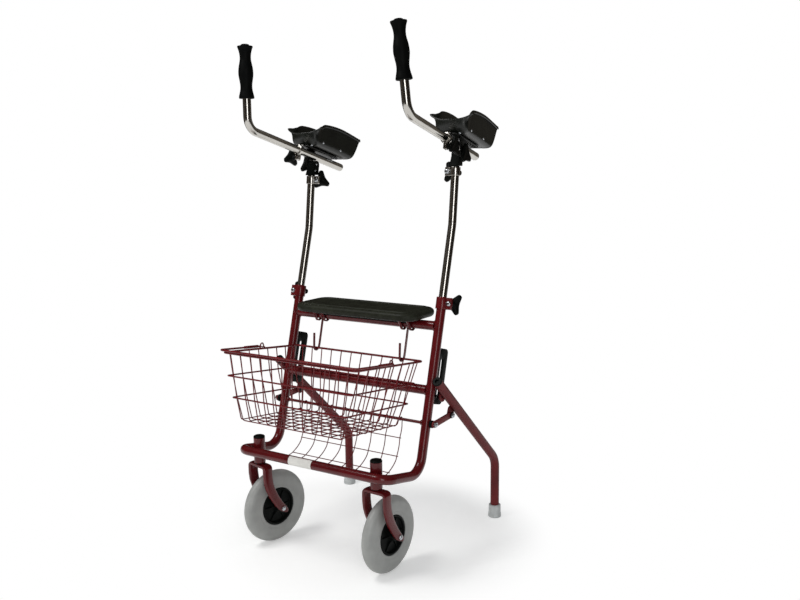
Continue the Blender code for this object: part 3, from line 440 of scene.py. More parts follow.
def grid_faces(rows, columns):
    """The four-sided faces between the points of a grid that is listed row by row."""
    return [(row * columns + column, row * columns + column + 1, (row + 1) * columns + column + 1,
             (row + 1) * columns + column) for row in range(rows - 1) for column in range(columns - 1)]


spots = []
for row in range(rows):
    turn_angle = math.radians(LABEL_TURN[0] + (LABEL_TURN[1] - LABEL_TURN[0]) * row / (rows - 1) + 12.0)
    lifted_radius = TUBE_RADIUS + LABEL_LIFT
    for column in range(columns):
        x = LABEL_FROM + (LABEL_TO - LABEL_FROM) * column / (columns - 1)
        spots.append((x, FRONT_BAR[0] - lifted_radius * math.cos(turn_angle),
                      FRONT_BAR[1] + lifted_radius * math.sin(turn_angle)))
label = meshed("front_label", spots, grid_faces(rows, columns))
shape(label, ("SOLIDIFY", {"thickness": 0.0002, "offset": 1.0}))
vinyl = surface("white vinyl label", "#eceae4", "#e2e0da", 0.02, 0.001, 0.00001, (0.30, 0.42))
fit(label, vinyl, "frame", "burgundy_paint")

# Seat. A moulded slab of greenish black polyurethane foam skin: a full rounded edge, a raised bead
# round a slightly sunken, finely grained top, and a block under it that straddles the seat tube.
SEAT_HALF_WIDTH, SEAT_FRONT, SEAT_BACK = 0.198, -0.0506, 0.1009
SEAT_BOTTOM, SEAT_TOP, SEAT_CORNER = 0.6275, 0.6505, 0.045
BLOCK_HALF_WIDTH, BLOCK_HALF_DEPTH, BLOCK_Y = 0.150, 0.018, 0.0253


def outline_of(corners, radius, steps=8):
    """A closed flat outline with each of its corners rounded."""
    loop = [Vector((*corner, 0.0)) for corner in [corners[-1], *corners, corners[0]]]
    return [(point.x, point.y) for point in rounded(loop, [radius] * len(corners), steps)[1:-1]]


def rounded_box(left, right, low, high, radius, steps=8):
    return outline_of([(left, low), (right, low), (right, high), (left, high)], radius, steps)


def stacked(name, rings):
    """A closed shell through rings of equally many points, with a flat cap at each end."""
    count = len(rings[0])
    points = [point for ring in rings for point in ring]
    faces = [tuple(reversed(range(count))), tuple(range(len(points) - count, len(points)))]
    for level in range(len(rings) - 1):
        for index in range(count):
            after = (index + 1) % count
            low, high = level * count, (level + 1) * count
            faces.append((low + index, low + after, high + after, high + index))
    piece = meshed(name, points, faces)
    in_edit(piece, FACED_OUT)
    return piece


def seat_ring(inset, z):
    half = SEAT_HALF_WIDTH - inset
    edge = rounded_box(-half, half, SEAT_FRONT + inset, SEAT_BACK - inset, max(SEAT_CORNER - inset, 0.012), 10)
    return [Vector((x, y, z)) for x, y in edge]


SEAT_EDGE = ((0.022, SEAT_BOTTOM + 0.0050), (0.019, SEAT_BOTTOM + 0.0008), (0.014, SEAT_BOTTOM),
             (0.0060, SEAT_BOTTOM + 0.0010), (0.0022, SEAT_BOTTOM + 0.0038), (0.0004, SEAT_BOTTOM + 0.0080),
             (0.0, SEAT_BOTTOM + 0.0115), (0.0006, SEAT_BOTTOM + 0.0155), (0.0028, SEAT_TOP - 0.0040),
             (0.0065, SEAT_TOP - 0.0014), (0.0110, SEAT_TOP - 0.0006), (0.0150, SEAT_TOP - 0.0006),
             (0.0163, SEAT_TOP + 0.0010), (0.0176, SEAT_TOP + 0.0017), (0.0189, SEAT_TOP + 0.0010),
             (0.0200, SEAT_TOP - 0.0012), (0.0215, SEAT_TOP - 0.0022), (0.0300, SEAT_TOP - 0.0026))
foam = surface("self-skinned polyurethane foam, greenish black", "#22231c", "#2b2d24", 0.02, 0.0013, 0.00008,
               (0.36, 0.50), specular=0.12)
seat_pad = stacked("seat_pad", [seat_ring(inset, z) for inset, z in SEAT_EDGE])
fit(seat_pad, foam, "frame", "seat_plastic", "seat", smooth=40)
block_edge = rounded_box(-BLOCK_HALF_WIDTH, BLOCK_HALF_WIDTH, -BLOCK_HALF_DEPTH, BLOCK_HALF_DEPTH, 0.006, 4)
seat_block = stacked("seat_block", [[Vector((x, BLOCK_Y + y * spread, z)) for x, y in block_edge]
                                    for z, spread in ((0.6140, 0.96), (0.6150, 1.0), (0.6320, 1.05))])
fit(seat_block, nylon, "frame", "seat_plastic")

# Basket. Welded steel wire coated burgundy: a heavy rim, two hoops round it, and thin wires that run
# down one side, bend under as the floor's grid, and go up the other side. It hangs on the two hooks.
RIM_WIRE, HOOP_WIRE, THIN_WIRE = 0.0029, 0.0021, 0.0015
BASKET_TILT, RIM_CORNER, HOOP_CORNER, FLOOR_BEND = -0.1155, 0.013, 0.006, 0.007
BASKET_LEVELS = ((0.2103, -0.3111, -0.0113, 0.5570), (0.1965, -0.3126, -0.0290, 0.4979),
                 (0.1804, -0.3141, -0.0376, 0.4425), (0.1630, -0.3101, -0.0561, 0.3850))
LONG_WIRES, CROSS_WIRES = 12, 8
RIM_SPAN, FLOOR_SPAN = 0.187, 0.159
RIM_INSET, FLOOR_INSET = 0.021, 0.011
EYE_Y, EYE_RISE, EYE_HALF, EYE_WIRE = -0.1611, 0.0150, 0.0075, 0.0018
WIRE_INWARD = HOOP_WIRE + THIN_WIRE
WIRE_BENDS = (0.02, 0.02, FLOOR_BEND, FLOOR_BEND, 0.02, 0.02)


def basket_height(level, y):
    return BASKET_LEVELS[level][3] + BASKET_TILT * (y - BASKET_LEVELS[level][1])


def hoop(level):
    half, front, back, height = BASKET_LEVELS[level]
    outline = rounded_box(-half, half, front, back, HOOP_CORNER if level else RIM_CORNER, 6)
    return [Vector((x, y, basket_height(level, y))) for x, y in outline]


def share_between(start, end, share):
    return start + (end - start) * share


def on_the_way_down(at_rim, at_floor, height):
    """What lies at a height between the number at the rim and the one at the floor."""
    rim_height, floor_height = BASKET_LEVELS[0][3], BASKET_LEVELS[3][3]
    return share_between(at_rim, at_floor, (rim_height - height) / (rim_height - floor_height))


def long_wire(index):
    """One wire from the front rim, under the floor and up to the back rim."""
    front, back = [], []
    for level, (half, fore, aft, height) in enumerate(BASKET_LEVELS):
        x = (2 * index / (LONG_WIRES - 1) - 1) * on_the_way_down(RIM_SPAN, FLOOR_SPAN, height)
        front.append(Vector((x, fore + WIRE_INWARD, basket_height(level, fore))))
        back.append(Vector((x, aft - WIRE_INWARD, basket_height(level, aft))))
    return rounded(front + back[::-1], WIRE_BENDS, 4)


def cross_wire(index):
    """One wire from the left rim, under the floor and up to the right rim."""
    left, right = [], []
    for level, (half, fore, aft, height) in enumerate(BASKET_LEVELS):
        inset = on_the_way_down(RIM_INSET, FLOOR_INSET, height)
        y = share_between(fore + inset, aft - inset, index / (CROSS_WIRES - 1))
        z = basket_height(level, y) - (2 * THIN_WIRE if level == 3 else 0.0)
        left.append(Vector((half - WIRE_INWARD, y, z)))
        right.append(Vector((WIRE_INWARD - half, y, z)))
    return rounded(left + right[::-1], WIRE_BENDS, 4)


basket_paint = surface("burgundy dip coat on steel wire", "#6e141a", "#5c1015", 0.03, 0.0012, 0.00003,
                       (0.28, 0.40), coat=0.15, specular=0.3)
rim = drawn("basket_rim", [hoop(0)], RIM_WIRE, 12, True)
hoops = drawn("basket_hoops", [hoop(1), hoop(2)], HOOP_WIRE, 10, True)
thin = drawn("basket_thin", [long_wire(index) for index in range(LONG_WIRES)]
             + [cross_wire(index) for index in range(CROSS_WIRES)], THIN_WIRE, 8)
eyes = []
for side in (1.0, -1.0):
    x, z = side * BASKET_LEVELS[0][0], basket_height(0, EYE_Y)
    behind_top = [(EYE_HALF * 0.6, EYE_RISE * 0.86), (EYE_HALF, 0.0045), (EYE_HALF + 0.004, 0.002)]
    arch = [(-y, rise) for y, rise in reversed(behind_top)] + [(0.0, EYE_RISE)] + behind_top
    eyes.append(smoothed([(x, EYE_Y + y, z + rise) for y, rise in arch], 4))
fit(joined("basket_wires", [rim, hoops, thin, drawn("basket_eyes", eyes, EYE_WIRE, 8)]), basket_paint, "basket",
    "burgundy_paint", "basket")

# Basket handle. One bail of the same wire, its ends turned down to thin pins through the two eyes,
# folded down round the front of the rim, with a thicker sleeve next to each eye.
BAIL_X, BAIL_FRONT, BAIL_END, BAIL_WIRE = 0.2163, -0.3166, -0.1581, 0.0027
BAIL_LOW, BAIL_HIGH, SLEEVE_LONG, SLEEVE_RADIUS = 0.5455, 0.5640, 0.052, 0.0038
BAIL_AXIS, BAIL_PIN, BAIL_PIN_END = 0.5449, 0.0016, 0.2065


def bail_height(y):
    return BAIL_HIGH + (BAIL_LOW - BAIL_HIGH) * (y - BAIL_FRONT) / (BAIL_END - BAIL_FRONT)


corners = [(BAIL_X, EYE_Y, BAIL_AXIS), (BAIL_X, EYE_Y - 0.012, bail_height(EYE_Y) + 0.001),
           (BAIL_X, BAIL_FRONT, BAIL_HIGH)]
corners += [(-x, y, z) for x, y, z in reversed(corners)]
bail = drawn("bail", [rounded(corners, [0.004, 0.012, 0.012, 0.004], 6)], BAIL_WIRE, 12)
pins = [[(side * x, EYE_Y, BAIL_AXIS) for x in (BAIL_PIN_END, BAIL_X + 0.001)] for side in (1.0, -1.0)]
sleeves = [[(side * BAIL_X, y, bail_height(y)) for y in (EYE_Y - 0.010, EYE_Y - 0.010 - SLEEVE_LONG)]
           for side in (1.0, -1.0)]
fit(joined("basket_bail", [bail, drawn("bail_sleeves", sleeves, SLEEVE_RADIUS, 14),
                           drawn("bail_pins", pins, BAIL_PIN, 12)]), basket_paint, "handle", "burgundy_paint",
    "basket_handle")

# Storage net. Eight thin coated wires hooked over the lower rod, sagging under the basket to the back
# of the front bar, where they are welded, with four cross wires under them.
NET_HALF, NET_WIRES, NET_WIRE = 0.160, 8, 0.0013
NET_LINE = ((-0.0468, 0.3640), (-0.0455, 0.3705), (-0.0412, 0.3727), (-0.0367, 0.3700), (-0.0358, 0.3640),
            (-0.0370, 0.3560), (-0.0381, 0.3431), (-0.0432, 0.3286), (-0.0479, 0.3185), (-0.0532, 0.2950),
            (-0.0637, 0.2726), (-0.0699, 0.2612), (-0.0841, 0.2496), (-0.1039, 0.2399), (-0.1214, 0.2361),
            (-0.1611, 0.2345), (-0.1900, 0.2420), (-0.2090, 0.2545), (-0.2190, 0.2660))
NET_CROSSES = ((-0.0479, 0.3185), (-0.0637, 0.2726), (-0.1039, 0.2399), (-0.1611, 0.2330))
runs = []
for index in range(NET_WIRES):
    x = NET_HALF * (2 * index / (NET_WIRES - 1) - 1)
    runs.append(smoothed([(x, y, z) for y, z in NET_LINE], 4))
for y, z in NET_CROSSES:
    runs.append([(side * (NET_HALF + 0.0025), y + 0.0012, z - 0.0018) for side in (-1.0, 1.0)])
fit(drawn("net_wires", runs, NET_WIRE, 8), basket_paint, "frame", "burgundy_paint", "storage_net")

# Castors. Steel sockets welded behind the front bar with pressed-in domed caps, black swivel bushes,
# and forks of flattened steel tube that sweep back to the axle, coated with the frame.
CASTOR_X, CASTOR_Y, TRAIL, WHEEL_RADIUS = 0.1915, -0.2061, 0.0455, 0.100
CASTOR_TURNS = {"left": -4.0, "right": -12.2}
SOCKET = ((0.0138, 0.2360), (0.0150, 0.2360), (0.0155, 0.2366), (0.0155, 0.3044), (0.0150, 0.3050),
          (0.0138, 0.3050))
CAP = ((0.0, 0.3052), (0.0155, 0.3052), (0.0156, 0.3066), (0.0152, 0.3082), (0.0138, 0.3098), (0.0110, 0.3108),
       (0.0070, 0.3115), (0.0030, 0.3119), (0.0, 0.3120))
SWIVEL = ((0.0090, 0.2337), (0.0140, 0.2337), (0.0147, 0.2343), (0.0147, 0.2354), (0.0140, 0.2359),
          (0.0090, 0.2359))
ARM_X, CROWN_Z, ARM_END_Z, ARM_WIDE, ARM_THICK = 0.03275, 0.2280, 0.0857, 0.0143, 0.0056
HUB_RADIUS, BOSS_RADIUS, BOSS_REACH, WEB, RIM_REACH = 0.0517, 0.0125, 0.0264, 0.0078, 0.0160
RIBS = 6


def arm_sweep(z):
    """How far a castor arm lies behind the stem at a height."""
    return TRAIL * (max(0.2 - z, 0.0) / 0.1) ** 1.8


def fork_ring(point, along, wide):
    """A rounded cross-section of the fork at a point of its centre line."""
    outward = Vector((along.z, 0.0, -along.x))
    ring = []
    for step in range(20):
        angle = math.tau * step / 20
        across, deep = math.cos(angle), math.sin(angle)
        spot = (point + outward * ARM_THICK * math.copysign(abs(across) ** 0.55, across)
                + Vector((0.0, wide * math.copysign(abs(deep) ** 0.7, deep), 0.0)))
        ring.append(spot + Vector((0.0, arm_sweep(spot.z), 0.0)))
    return ring


def fork(name):
    line = rounded([(ARM_X, 0, ARM_END_Z), (ARM_X, 0, CROWN_Z), (-ARM_X, 0, CROWN_Z), (-ARM_X, 0, ARM_END_Z)],
                   [0.0075, 0.0075], 8)
    arm_steps = [Vector((ARM_X, 0.0, z)) for z in
                 (0.0860, 0.0873, 0.0900, 0.0945, 0.1, 0.110, 0.125, 0.142, 0.160, 0.180, 0.200)]
    points = arm_steps + line[1:-1] + [Vector((-point.x, 0.0, point.z)) for point in reversed(arm_steps)]
    rings = []
    for index, point in enumerate(points):
        along = (points[min(index + 1, len(points) - 1)] - points[max(index - 1, 0)]).normalized()
        below = max(WHEEL_RADIUS - point.z, 0.0)
        rings.append(fork_ring(point, along, math.sqrt(max(ARM_WIDE ** 2 - below ** 2, 0.000012))))
    return stacked(name, rings)


def tyre_profile():
    """Half of the soft tyre's section from the hub out, then the same mirrored."""
    side = [(0.0520, 0.0138), (0.0532, 0.0158), (0.0560, 0.0167), (0.0600, 0.0171), (0.0607, 0.0166),
            (0.0616, 0.0171), (0.0680, 0.0173), (0.0740, 0.0171)]
    for step in range(1, 10):
        angle = math.radians(10 * step)
        side.append((0.0770 + 0.0230 * math.sin(angle) ** 0.9, 0.0171 * math.cos(angle) ** 0.92))
    side.append((0.1, 0.0))
    return side + [(radius, -height) for radius, height in reversed(side[:-1])]


def hub_ribs(name, place):
    """Straight ribs on both faces of the hub's web."""
    ribs = []
    for face in (1.0, -1.0):
        for index in range(RIBS):
            angle = math.tau * index / RIBS
            out = Vector((math.cos(angle), math.sin(angle), 0.0))
            aside = Vector((-out.y, out.x, 0.0)) * 0.0017
            rings = []
            for radius, high in ((0.0110, 0.0190), (0.0200, 0.0145), (0.0320, 0.0112), (0.0465, 0.0108)):
                spot = out * radius
                rings.append([spot - aside + Z_AXIS * face * 0.003, spot + aside + Z_AXIS * face * 0.003,
                              spot + aside * 0.6 + Z_AXIS * face * high, spot - aside * 0.6 + Z_AXIS * face * high])
            ribs.append(moved(stacked(name, rings), place))
    return joined(name, ribs)


tyre_rubber = surface("grey non-marking polyurethane tyre", "#a3a4a1", "#989996", 0.035, 0.0022, 0.00006,
                      (0.34, 0.52))
hub_side = [(0.0044, BOSS_REACH), (0.0100, BOSS_REACH), (BOSS_RADIUS, BOSS_REACH - 0.002), (0.0140, 0.0160),
            (0.0165, 0.0100), (0.0210, WEB + 0.0006), (0.0430, WEB), (0.0452, 0.0095), (0.0462, RIM_REACH - 0.001),
            (0.0470, RIM_REACH), (0.0500, RIM_REACH), (HUB_RADIUS, RIM_REACH - 0.001)]
hub_profile = hub_side + [(radius, -height) for radius, height in reversed(hub_side)]
for side_name, side in SIDES:
    foot = Vector((side * CASTOR_X, CASTOR_Y, 0.0))
    place = Matrix.Translation(foot) @ Matrix.Rotation(math.radians(CASTOR_TURNS[side_name]), 4, "Z")
    for name, profile, finish, slot, cad_name in (
            ("castor_socket_tube_", SOCKET, burgundy, "burgundy_paint", "castor_socket_"),
            ("castor_cap_dome_", CAP, nylon, "black_plastic", "castor_cap_"),
            ("castor_swivel_ring_", SWIVEL, nylon, "black_plastic", "castor_bush_")):
        fit(turned(name + side_name, profile, place, 36), finish, "frame", slot, cad_name + side_name)
    gap = Vector((foot.x, FRONT_BAR[0] + 0.0128, FRONT_BAR[1]))
    seam = [[gap + Vector((0.0085 * lateral, 0.0022 * abs(lateral), 0.0090 * tall)) for lateral, tall in
             ((-1, -0.8), (-0.7, -1), (0.7, -1), (1, -0.8), (1, 0.8), (0.7, 1), (-0.7, 1), (-1, 0.8))]]
    fit(drawn("socket_weld_" + side_name, seam, 0.0016, 8, True), burgundy, "frame", "burgundy_paint")

    fork_piece = fork("fork_arms")
    stem = turned("fork_stem", [(0.0, 0.2300), (0.0088, 0.2300), (0.0088, 0.2400), (0.0, 0.2400)],
                  Matrix.Identity(4), 24)
    fork_piece = joined("castor_fork_arms_" + side_name, [fork_piece, stem])
    fork_piece.matrix_world = place
    fit(fork_piece, burgundy, "castor_" + side_name, "burgundy_paint", "castor_fork_" + side_name)
    hub_place = place @ Matrix.Translation((0.0, TRAIL, WHEEL_RADIUS)) @ aimed(Vector(), X_AXIS)
    across = hub_place.to_3x3() @ Z_AXIS
    ends = [hex_nut("axle_end", aimed(hub_place.translation, across * way), 0.0068, 0.0376, 0.0418, 0.0036)
            for way in (1.0, -1.0)]
    fit(joined("axle_nuts_" + side_name, ends), zinc, "castor_" + side_name, "zinc_fastener",
        "wheel_axle_" + side_name, smooth=25)
    fit(turned("tyre_ring_" + side_name, tyre_profile(), hub_place, 80), tyre_rubber, "wheel_" + side_name,
        "grey_tyre", "tyre_" + side_name)
    hub = joined("hub_disc_" + side_name, [turned("hub_disc", hub_profile, hub_place, 64),
                                           hub_ribs("hub_ribs", hub_place)])
    fit(hub, nylon, "wheel_" + side_name, "black_plastic", "wheel_hub_" + side_name)

# Rear legs. The same tube with a flatter, browner burgundy coat, bent once above the floor, with two
# flat lugs welded under it. Black plugs with a hole close the tops, pale rubber tips the feet.
LEG_X, LEG_TOP, LEG_KNEE, LEG_BEND, LEG_END_Z = 0.2642, (-0.0311, 0.4800), (0.3004, 0.1765), 0.060, 0.012
LEG_DOWN = Vector((0.0, LEG_KNEE[0] - LEG_TOP[0], LEG_KNEE[1] - LEG_TOP[1])).normalized()
LEG_UNDER = Vector((0.0, LEG_DOWN.z, -LEG_DOWN.y))
PIN_LUG_X, LINK_LUG_X, LUG_THICK = 0.2540, 0.2560, 0.003
PIN_LUG = ((0.036, 0.004), (0.094, 0.004), (0.074, 0.0215), (0.060, 0.0215))
LINK_LUG = ((0.109, 0.006), (0.152, 0.006), (0.141, 0.0358), (0.120, 0.0358))
PLUG = ((0.0, -0.0040), (0.0060, -0.0040), (0.0060, 0.0010), (0.0085, 0.0012), (0.0118, 0.0010), (0.0126, 0.0),
        (0.0128, -0.0030), (0.0125, -0.0047), (0.0108, -0.0047), (0.0108, -0.0160), (0.0, -0.0160))
TIP = ((0.0, 0.0117), (0.0126, 0.0117), (0.0126, 0.0370), (0.0158, 0.0372), (0.0171, 0.0364), (0.0174, 0.0335),
       (0.0176, 0.0200), (0.0178, 0.0140), (0.0187, 0.0112), (0.0190, 0.0095), (0.0184, 0.0082), (0.0184, 0.0066),
       (0.0190, 0.0054), (0.0190, 0.0016), (0.0182, 0.0), (0.0, 0.0))


def flat_plate(name, outline, thick, place, edge, holes=()):
    """A plate of the outline in the place's own flat plane, drilled, with its edges softened."""
    piece = meshed(name, [(x, y, -thick / 2) for x, y in outline], [tuple(range(len(outline)))])
    in_edit(piece, ("extrude_region_move", {"TRANSFORM_OT_translate": {"value": (0.0, 0.0, thick)}}),
            ("select_all", {"action": "SELECT"}), FACED_OUT)
    for hole in holes:
        count = len(hole)
        spots = [(x, y, way * thick) for way in (-1, 1) for x, y in hole]
        walls = [(index, (index + 1) % count, count + (index + 1) % count, count + index) for index in range(count)]
        cutter = meshed("hole", spots, walls + [tuple(range(count)), tuple(range(count, 2 * count))])
        in_edit(cutter, FACED_OUT)
        shape(piece, ("BOOLEAN", {"operation": "DIFFERENCE", "solver": "EXACT", "object": cutter}))
        bpy.data.objects.remove(cutter, do_unlink=True)
    if edge:
        shape(piece, ("BEVEL", {"width": edge, "segments": 2, "limit_method": "ANGLE", "angle_limit": 0.6}))
    return moved(piece, place)


def side_place(x):
    """A place whose own X, Y and Z are the world's Y, Z and X."""
    return Matrix.Translation((x, 0.0, 0.0)) @ Matrix(((0, 0, 1, 0), (1, 0, 0, 0), (0, 1, 0, 0), (0, 0, 0, 1)))


def arc(centre, radius, start, sweep, steps):
    """Flat points round a centre, from the start angle and through the sweep, both in radians."""
    angles = [start + sweep * step / steps for step in range(steps + 1)]
    return [(centre[0] + radius * math.cos(angle), centre[1] + radius * math.sin(angle)) for angle in angles]


def leg_spot(along, under):
    return Vector((0.0, *LEG_TOP)) + LEG_DOWN * along + LEG_UNDER * under


leg_coat = surface("satin burgundy powder coat on the legs", "#6c2325", "#5e1e20", 0.04, 0.0014, 0.00004,
                   (0.44, 0.56), specular=0.22)
tip_rubber = surface("pale grey moulded rubber", "#cfd2d1", "#bcbfbe", 0.015, 0.0010, 0.00005, (0.50, 0.64))
LINK_HEAD, SLOT_PIN = (0.0459, 0.3715), (0.0096, 0.4292)
LINK_X, LINK_HALF, LINK_THICK = 0.26075, 0.0085, 0.0045
for side_name, side in SIDES:
    shift = X_AXIS * side * LEG_X
    body = "leg_" + side_name
    line = rounded([leg_spot(0.0048, 0.0) + shift, shift + Vector((0.0, *LEG_KNEE)),
                    shift + Vector((0.0, LEG_KNEE[0], LEG_END_Z))], [LEG_BEND], 12)
    tube = drawn("leg_tube", [line], TUBE_RADIUS, 28)
    lugs = []
    for x, corners, radius in ((PIN_LUG_X, PIN_LUG, 0.0070), (LINK_LUG_X, LINK_LUG, 0.0100)):
        spots = [leg_spot(along, under) for along, under in corners]
        lugs.append(flat_plate("lug", outline_of([(spot.y, spot.z) for spot in spots], radius, 5), LUG_THICK,
                               side_place(side * x), 0.0005))
    fit(joined("rear_leg_tube_" + side_name, [tube] + lugs), leg_coat, body, "leg_paint", "rear_leg_" + side_name)
    fit(turned("foot_rubber_" + side_name, TIP, Matrix.Translation(shift + Vector((0.0, LEG_KNEE[0], 0.0))), 40),
        tip_rubber, body, "tip_rubber", "foot_tip_" + side_name)
    fit(turned("leg_end_plug_" + side_name, PLUG, aimed(leg_spot(0.0, 0.0) + shift, -LEG_DOWN), 36), nylon, body,
        "black_plastic", "leg_plug_" + side_name)

    # The guide pin under the leg: a black nylon pin with a head, whose roller runs in the slotted plate.
    pin_place = aimed(Vector((0.0, *SLOT_PIN)), X_AXIS * side)
    pin = [(0.0, 0.2556), (0.0036, 0.2556), (0.0042, 0.2550), (0.0042, 0.2524), (0.0048, 0.2522), (0.0048, 0.2410),
           (0.0026, 0.2408), (0.0026, 0.2342), (0.0064, 0.2341), (0.0070, 0.2334), (0.0070, 0.2314),
           (0.0060, 0.2305), (0.0, 0.2305)]
    fit(turned("guide_pin_" + side_name, pin, pin_place, 28), nylon, body, "black_plastic",
        "slide_pin_" + side_name)

    # The folding link: a flat painted steel bar with round ends, on a bush and a lock nut at each pivot.
    lower, upper = Vector((ROD_Y, ROD_Z, 0.0)), Vector((*LINK_HEAD, 0.0))
    lean = (upper - lower).angle(Vector((1.0, 0.0, 0.0)))
    outline = (arc(upper, LINK_HALF, lean - math.pi / 2, math.pi, 12)
               + arc(lower, LINK_HALF, lean + math.pi / 2, math.pi, 12))
    fit(flat_plate("link_bar_" + side_name, outline, LINK_THICK, side_place(side * LINK_X), 0.0007), leg_coat,
        "link_" + side_name, "leg_paint", "folding_link_" + side_name)
    head_place = aimed(Vector((0.0, *LINK_HEAD)), X_AXIS * side)
    washer = [(0.0, 0.2633), (0.0084, 0.2633), (0.0088, 0.2638), (0.0088, 0.2652), (0.0082, 0.2658), (0.0, 0.2658)]
    inner_head = [(0.0, 0.2507), (0.0052, 0.2507), (0.0062, 0.2515), (0.0064, 0.2540), (0.0, 0.2543)]
    fit(joined("link_bush_" + side_name, [turned("washer", washer, head_place, 28),
                                         turned("inner_head", inner_head, head_place, 24)]), nylon, body,
        "black_plastic")
    fit(hex_nut("link_nut_" + side_name, head_place, NUT_RADIUS, 0.2657, 0.2704, 0.0035), zinc, body,
        "zinc_fastener", "link_bolt_" + side_name, smooth=25)

# Guide plates. Thick black moulded plates behind the uprights, with one long slot for the leg's pin
# and rounded edges all round.
PLATE_NEAR, PLATE_FAR, PLATE_LOW, PLATE_HIGH, PLATE_THICK = 0.0128, 0.0625, -0.0225, 0.1250, 0.0060
SLOT_NEAR, SLOT_FAR, SLOT_LOW, SLOT_HIGH = 0.0297, 0.0417, -0.0055, 0.0980
pin_along = SLOT_PIN[1] / UP.z + 0.0330 * SLOPE
plate_turn = Matrix((BEHIND, UP, X_AXIS)).transposed().to_4x4()
for side_name, side in SIDES:
    origin = Vector((side * UPRIGHT_X, FOOT_Y, 0.0)) + UP * pin_along
    edge = rounded_box(PLATE_NEAR, PLATE_FAR, PLATE_LOW, PLATE_HIGH, 0.0115)
    slot_edge = rounded_box(SLOT_NEAR, SLOT_FAR, SLOT_LOW, SLOT_HIGH, 0.0055, 6)
    fit(flat_plate("guide_slot_plate_" + side_name, edge, PLATE_THICK, Matrix.Translation(origin) @ plate_turn,
                   0.0011, [slot_edge]), nylon, "frame", "black_plastic", "guide_plate_" + side_name)

# Height poles. 21.4 mm chromed steel tube, bent forward once above the frame, with a thin dark
# ring line at the bend. The left pole stands 24 mm higher than the right one.
POLE_RADIUS, POLE_BEND, POLE_TOP_Z, POLE_BEND_Z, POLE_FOOT = 0.0107, 0.100, 0.9986, 0.849, 0.170
LEFT_RAISED = 0.0244
POLE_UP = Vector((0.0, 0.117, 1.0)).normalized()
POLE_BEHIND = Vector((0.0, 1.0, -0.117)).normalized()
chrome = surface("bright chromium plate on steel", "#c9c6c0", "#c0bdb7", 0.05, 0.012, 0.0, (0.17, 0.21), 1.0)
line_finish = surface("dark line in the chromium", "#3a3733", "#2e2b28", 0.01, 0.001, 0.00001, (0.3, 0.4), 1.0)


def lift(side):
    return UP * (LEFT_RAISED if side > 0 else 0.0)


def pole_top(side):
    bend = upright(side, POLE_BEND_Z) + lift(side)
    return bend + POLE_UP * (POLE_TOP_Z - POLE_BEND_Z) / POLE_UP.z


for side_name, side in SIDES:
    body, bend, top = "pole_" + side_name, upright(side, POLE_BEND_Z) + lift(side), pole_top(side)
    line = rounded([upright(side, TUBE_TOP_Z) - UP * POLE_FOOT + lift(side), bend, top], [POLE_BEND], 12)
    fit(drawn("height_pole_tube_" + side_name, [line], POLE_RADIUS, 32), chrome, body, "chrome_tube",
        "height_pole_" + side_name)
    band = [(POLE_RADIUS - 0.0002, 0.0), (POLE_RADIUS + 0.00025, 0.0), (POLE_RADIUS + 0.00025, 0.0012),
            (POLE_RADIUS - 0.0002, 0.0012)]
    fit(turned("pole_line_" + side_name, band, aimed(bend + POLE_UP * 0.0065, POLE_UP), 32), line_finish, body,
        "chrome_tube")

# Frame and top collars. A split ring with two ears round each tube joint: the lower one burgundy on
# the frame, the upper one chromed on the pole, each with a zinc bolt head in front and a knob behind.
COLLAR_Z, COLLAR_EAR_BOLT, COLLAR_SLIT, COLLAR_EDGE = 0.6705, 0.0220, 0.0012, 0.0005
DOME = ((0.0, 0.0046), (0.0026, 0.0044), (0.0050, 0.0036), (0.0066, 0.0022), (0.0072, 0.0008), (0.0070, 0.0),
        (0.0, 0.0))


def split_collar(name, bore, outer, height, ear, thick):
    """A ring in its own XY plane with two ears along its own +X and a slit between them."""
    slit, rim_turn = COLLAR_SLIT, math.asin(thick / outer)
    outline = [(ear, -slit), (bore * math.cos(slit / bore), -slit)]
    outline += arc((0.0, 0.0), bore, -slit / bore, 2 * slit / bore - math.tau, 40)[1:-1]
    outline += [(bore * math.cos(slit / bore), slit), (ear, slit)]
    outline += [(ear, thick - 0.002), (ear - 0.0006, thick - 0.0006), (ear - 0.002, thick)]
    outline += arc((0.0, 0.0), outer, rim_turn, math.tau - 2 * rim_turn, 44)
    outline += [(ear - 0.002, -thick), (ear - 0.0006, -thick + 0.0006), (ear, -thick + 0.002)]
    return flat_plate(name, outline, height, Matrix.Identity(4), COLLAR_EDGE)


def frame_place(spot, x_way, z_way):
    """A place at the spot with its own X and Z along the two directions."""
    y_way = z_way.cross(x_way).normalized()
    return Matrix.Translation(spot) @ Matrix((x_way.normalized(), y_way, z_way.normalized())).transposed().to_4x4()


def collar_centre(side):
    return upright(side, COLLAR_Z)


def top_collar_centre(side):
    return pole_top(side) - POLE_UP * 0.0115


for side_name, side in SIDES:
    outboard = X_AXIS * side
    rings = ((collar_centre(side), outboard, UP, BEHIND, 0.0127, 0.0158, 0.031, 0.0300, 0.0050, burgundy, "frame",
              "burgundy_paint", "frame_collar_"),
             (top_collar_centre(side), -outboard, POLE_UP, POLE_BEHIND, 0.0108, 0.0138, 0.022, 0.0290, 0.0050,
              chrome, "pole_" + side_name, "chrome_tube", "top_collar_"))
    for centre, ears_to, upward, behind, bore, outer, height, ear, thick, finish, body, slot, cad_name in rings:
        ring = split_collar(cad_name + "ring_" + side_name, bore, outer, height, ear, thick)
        fit(moved(ring, frame_place(centre, ears_to, upward)), finish, body, slot, cad_name + side_name, smooth=30)
        seat_spot = centre + ears_to * COLLAR_EAR_BOLT - behind * thick
        fit(turned(cad_name + "bolt_head_" + side_name, DOME, aimed(seat_spot, -behind), 28), zinc, body,
            "zinc_fastener")

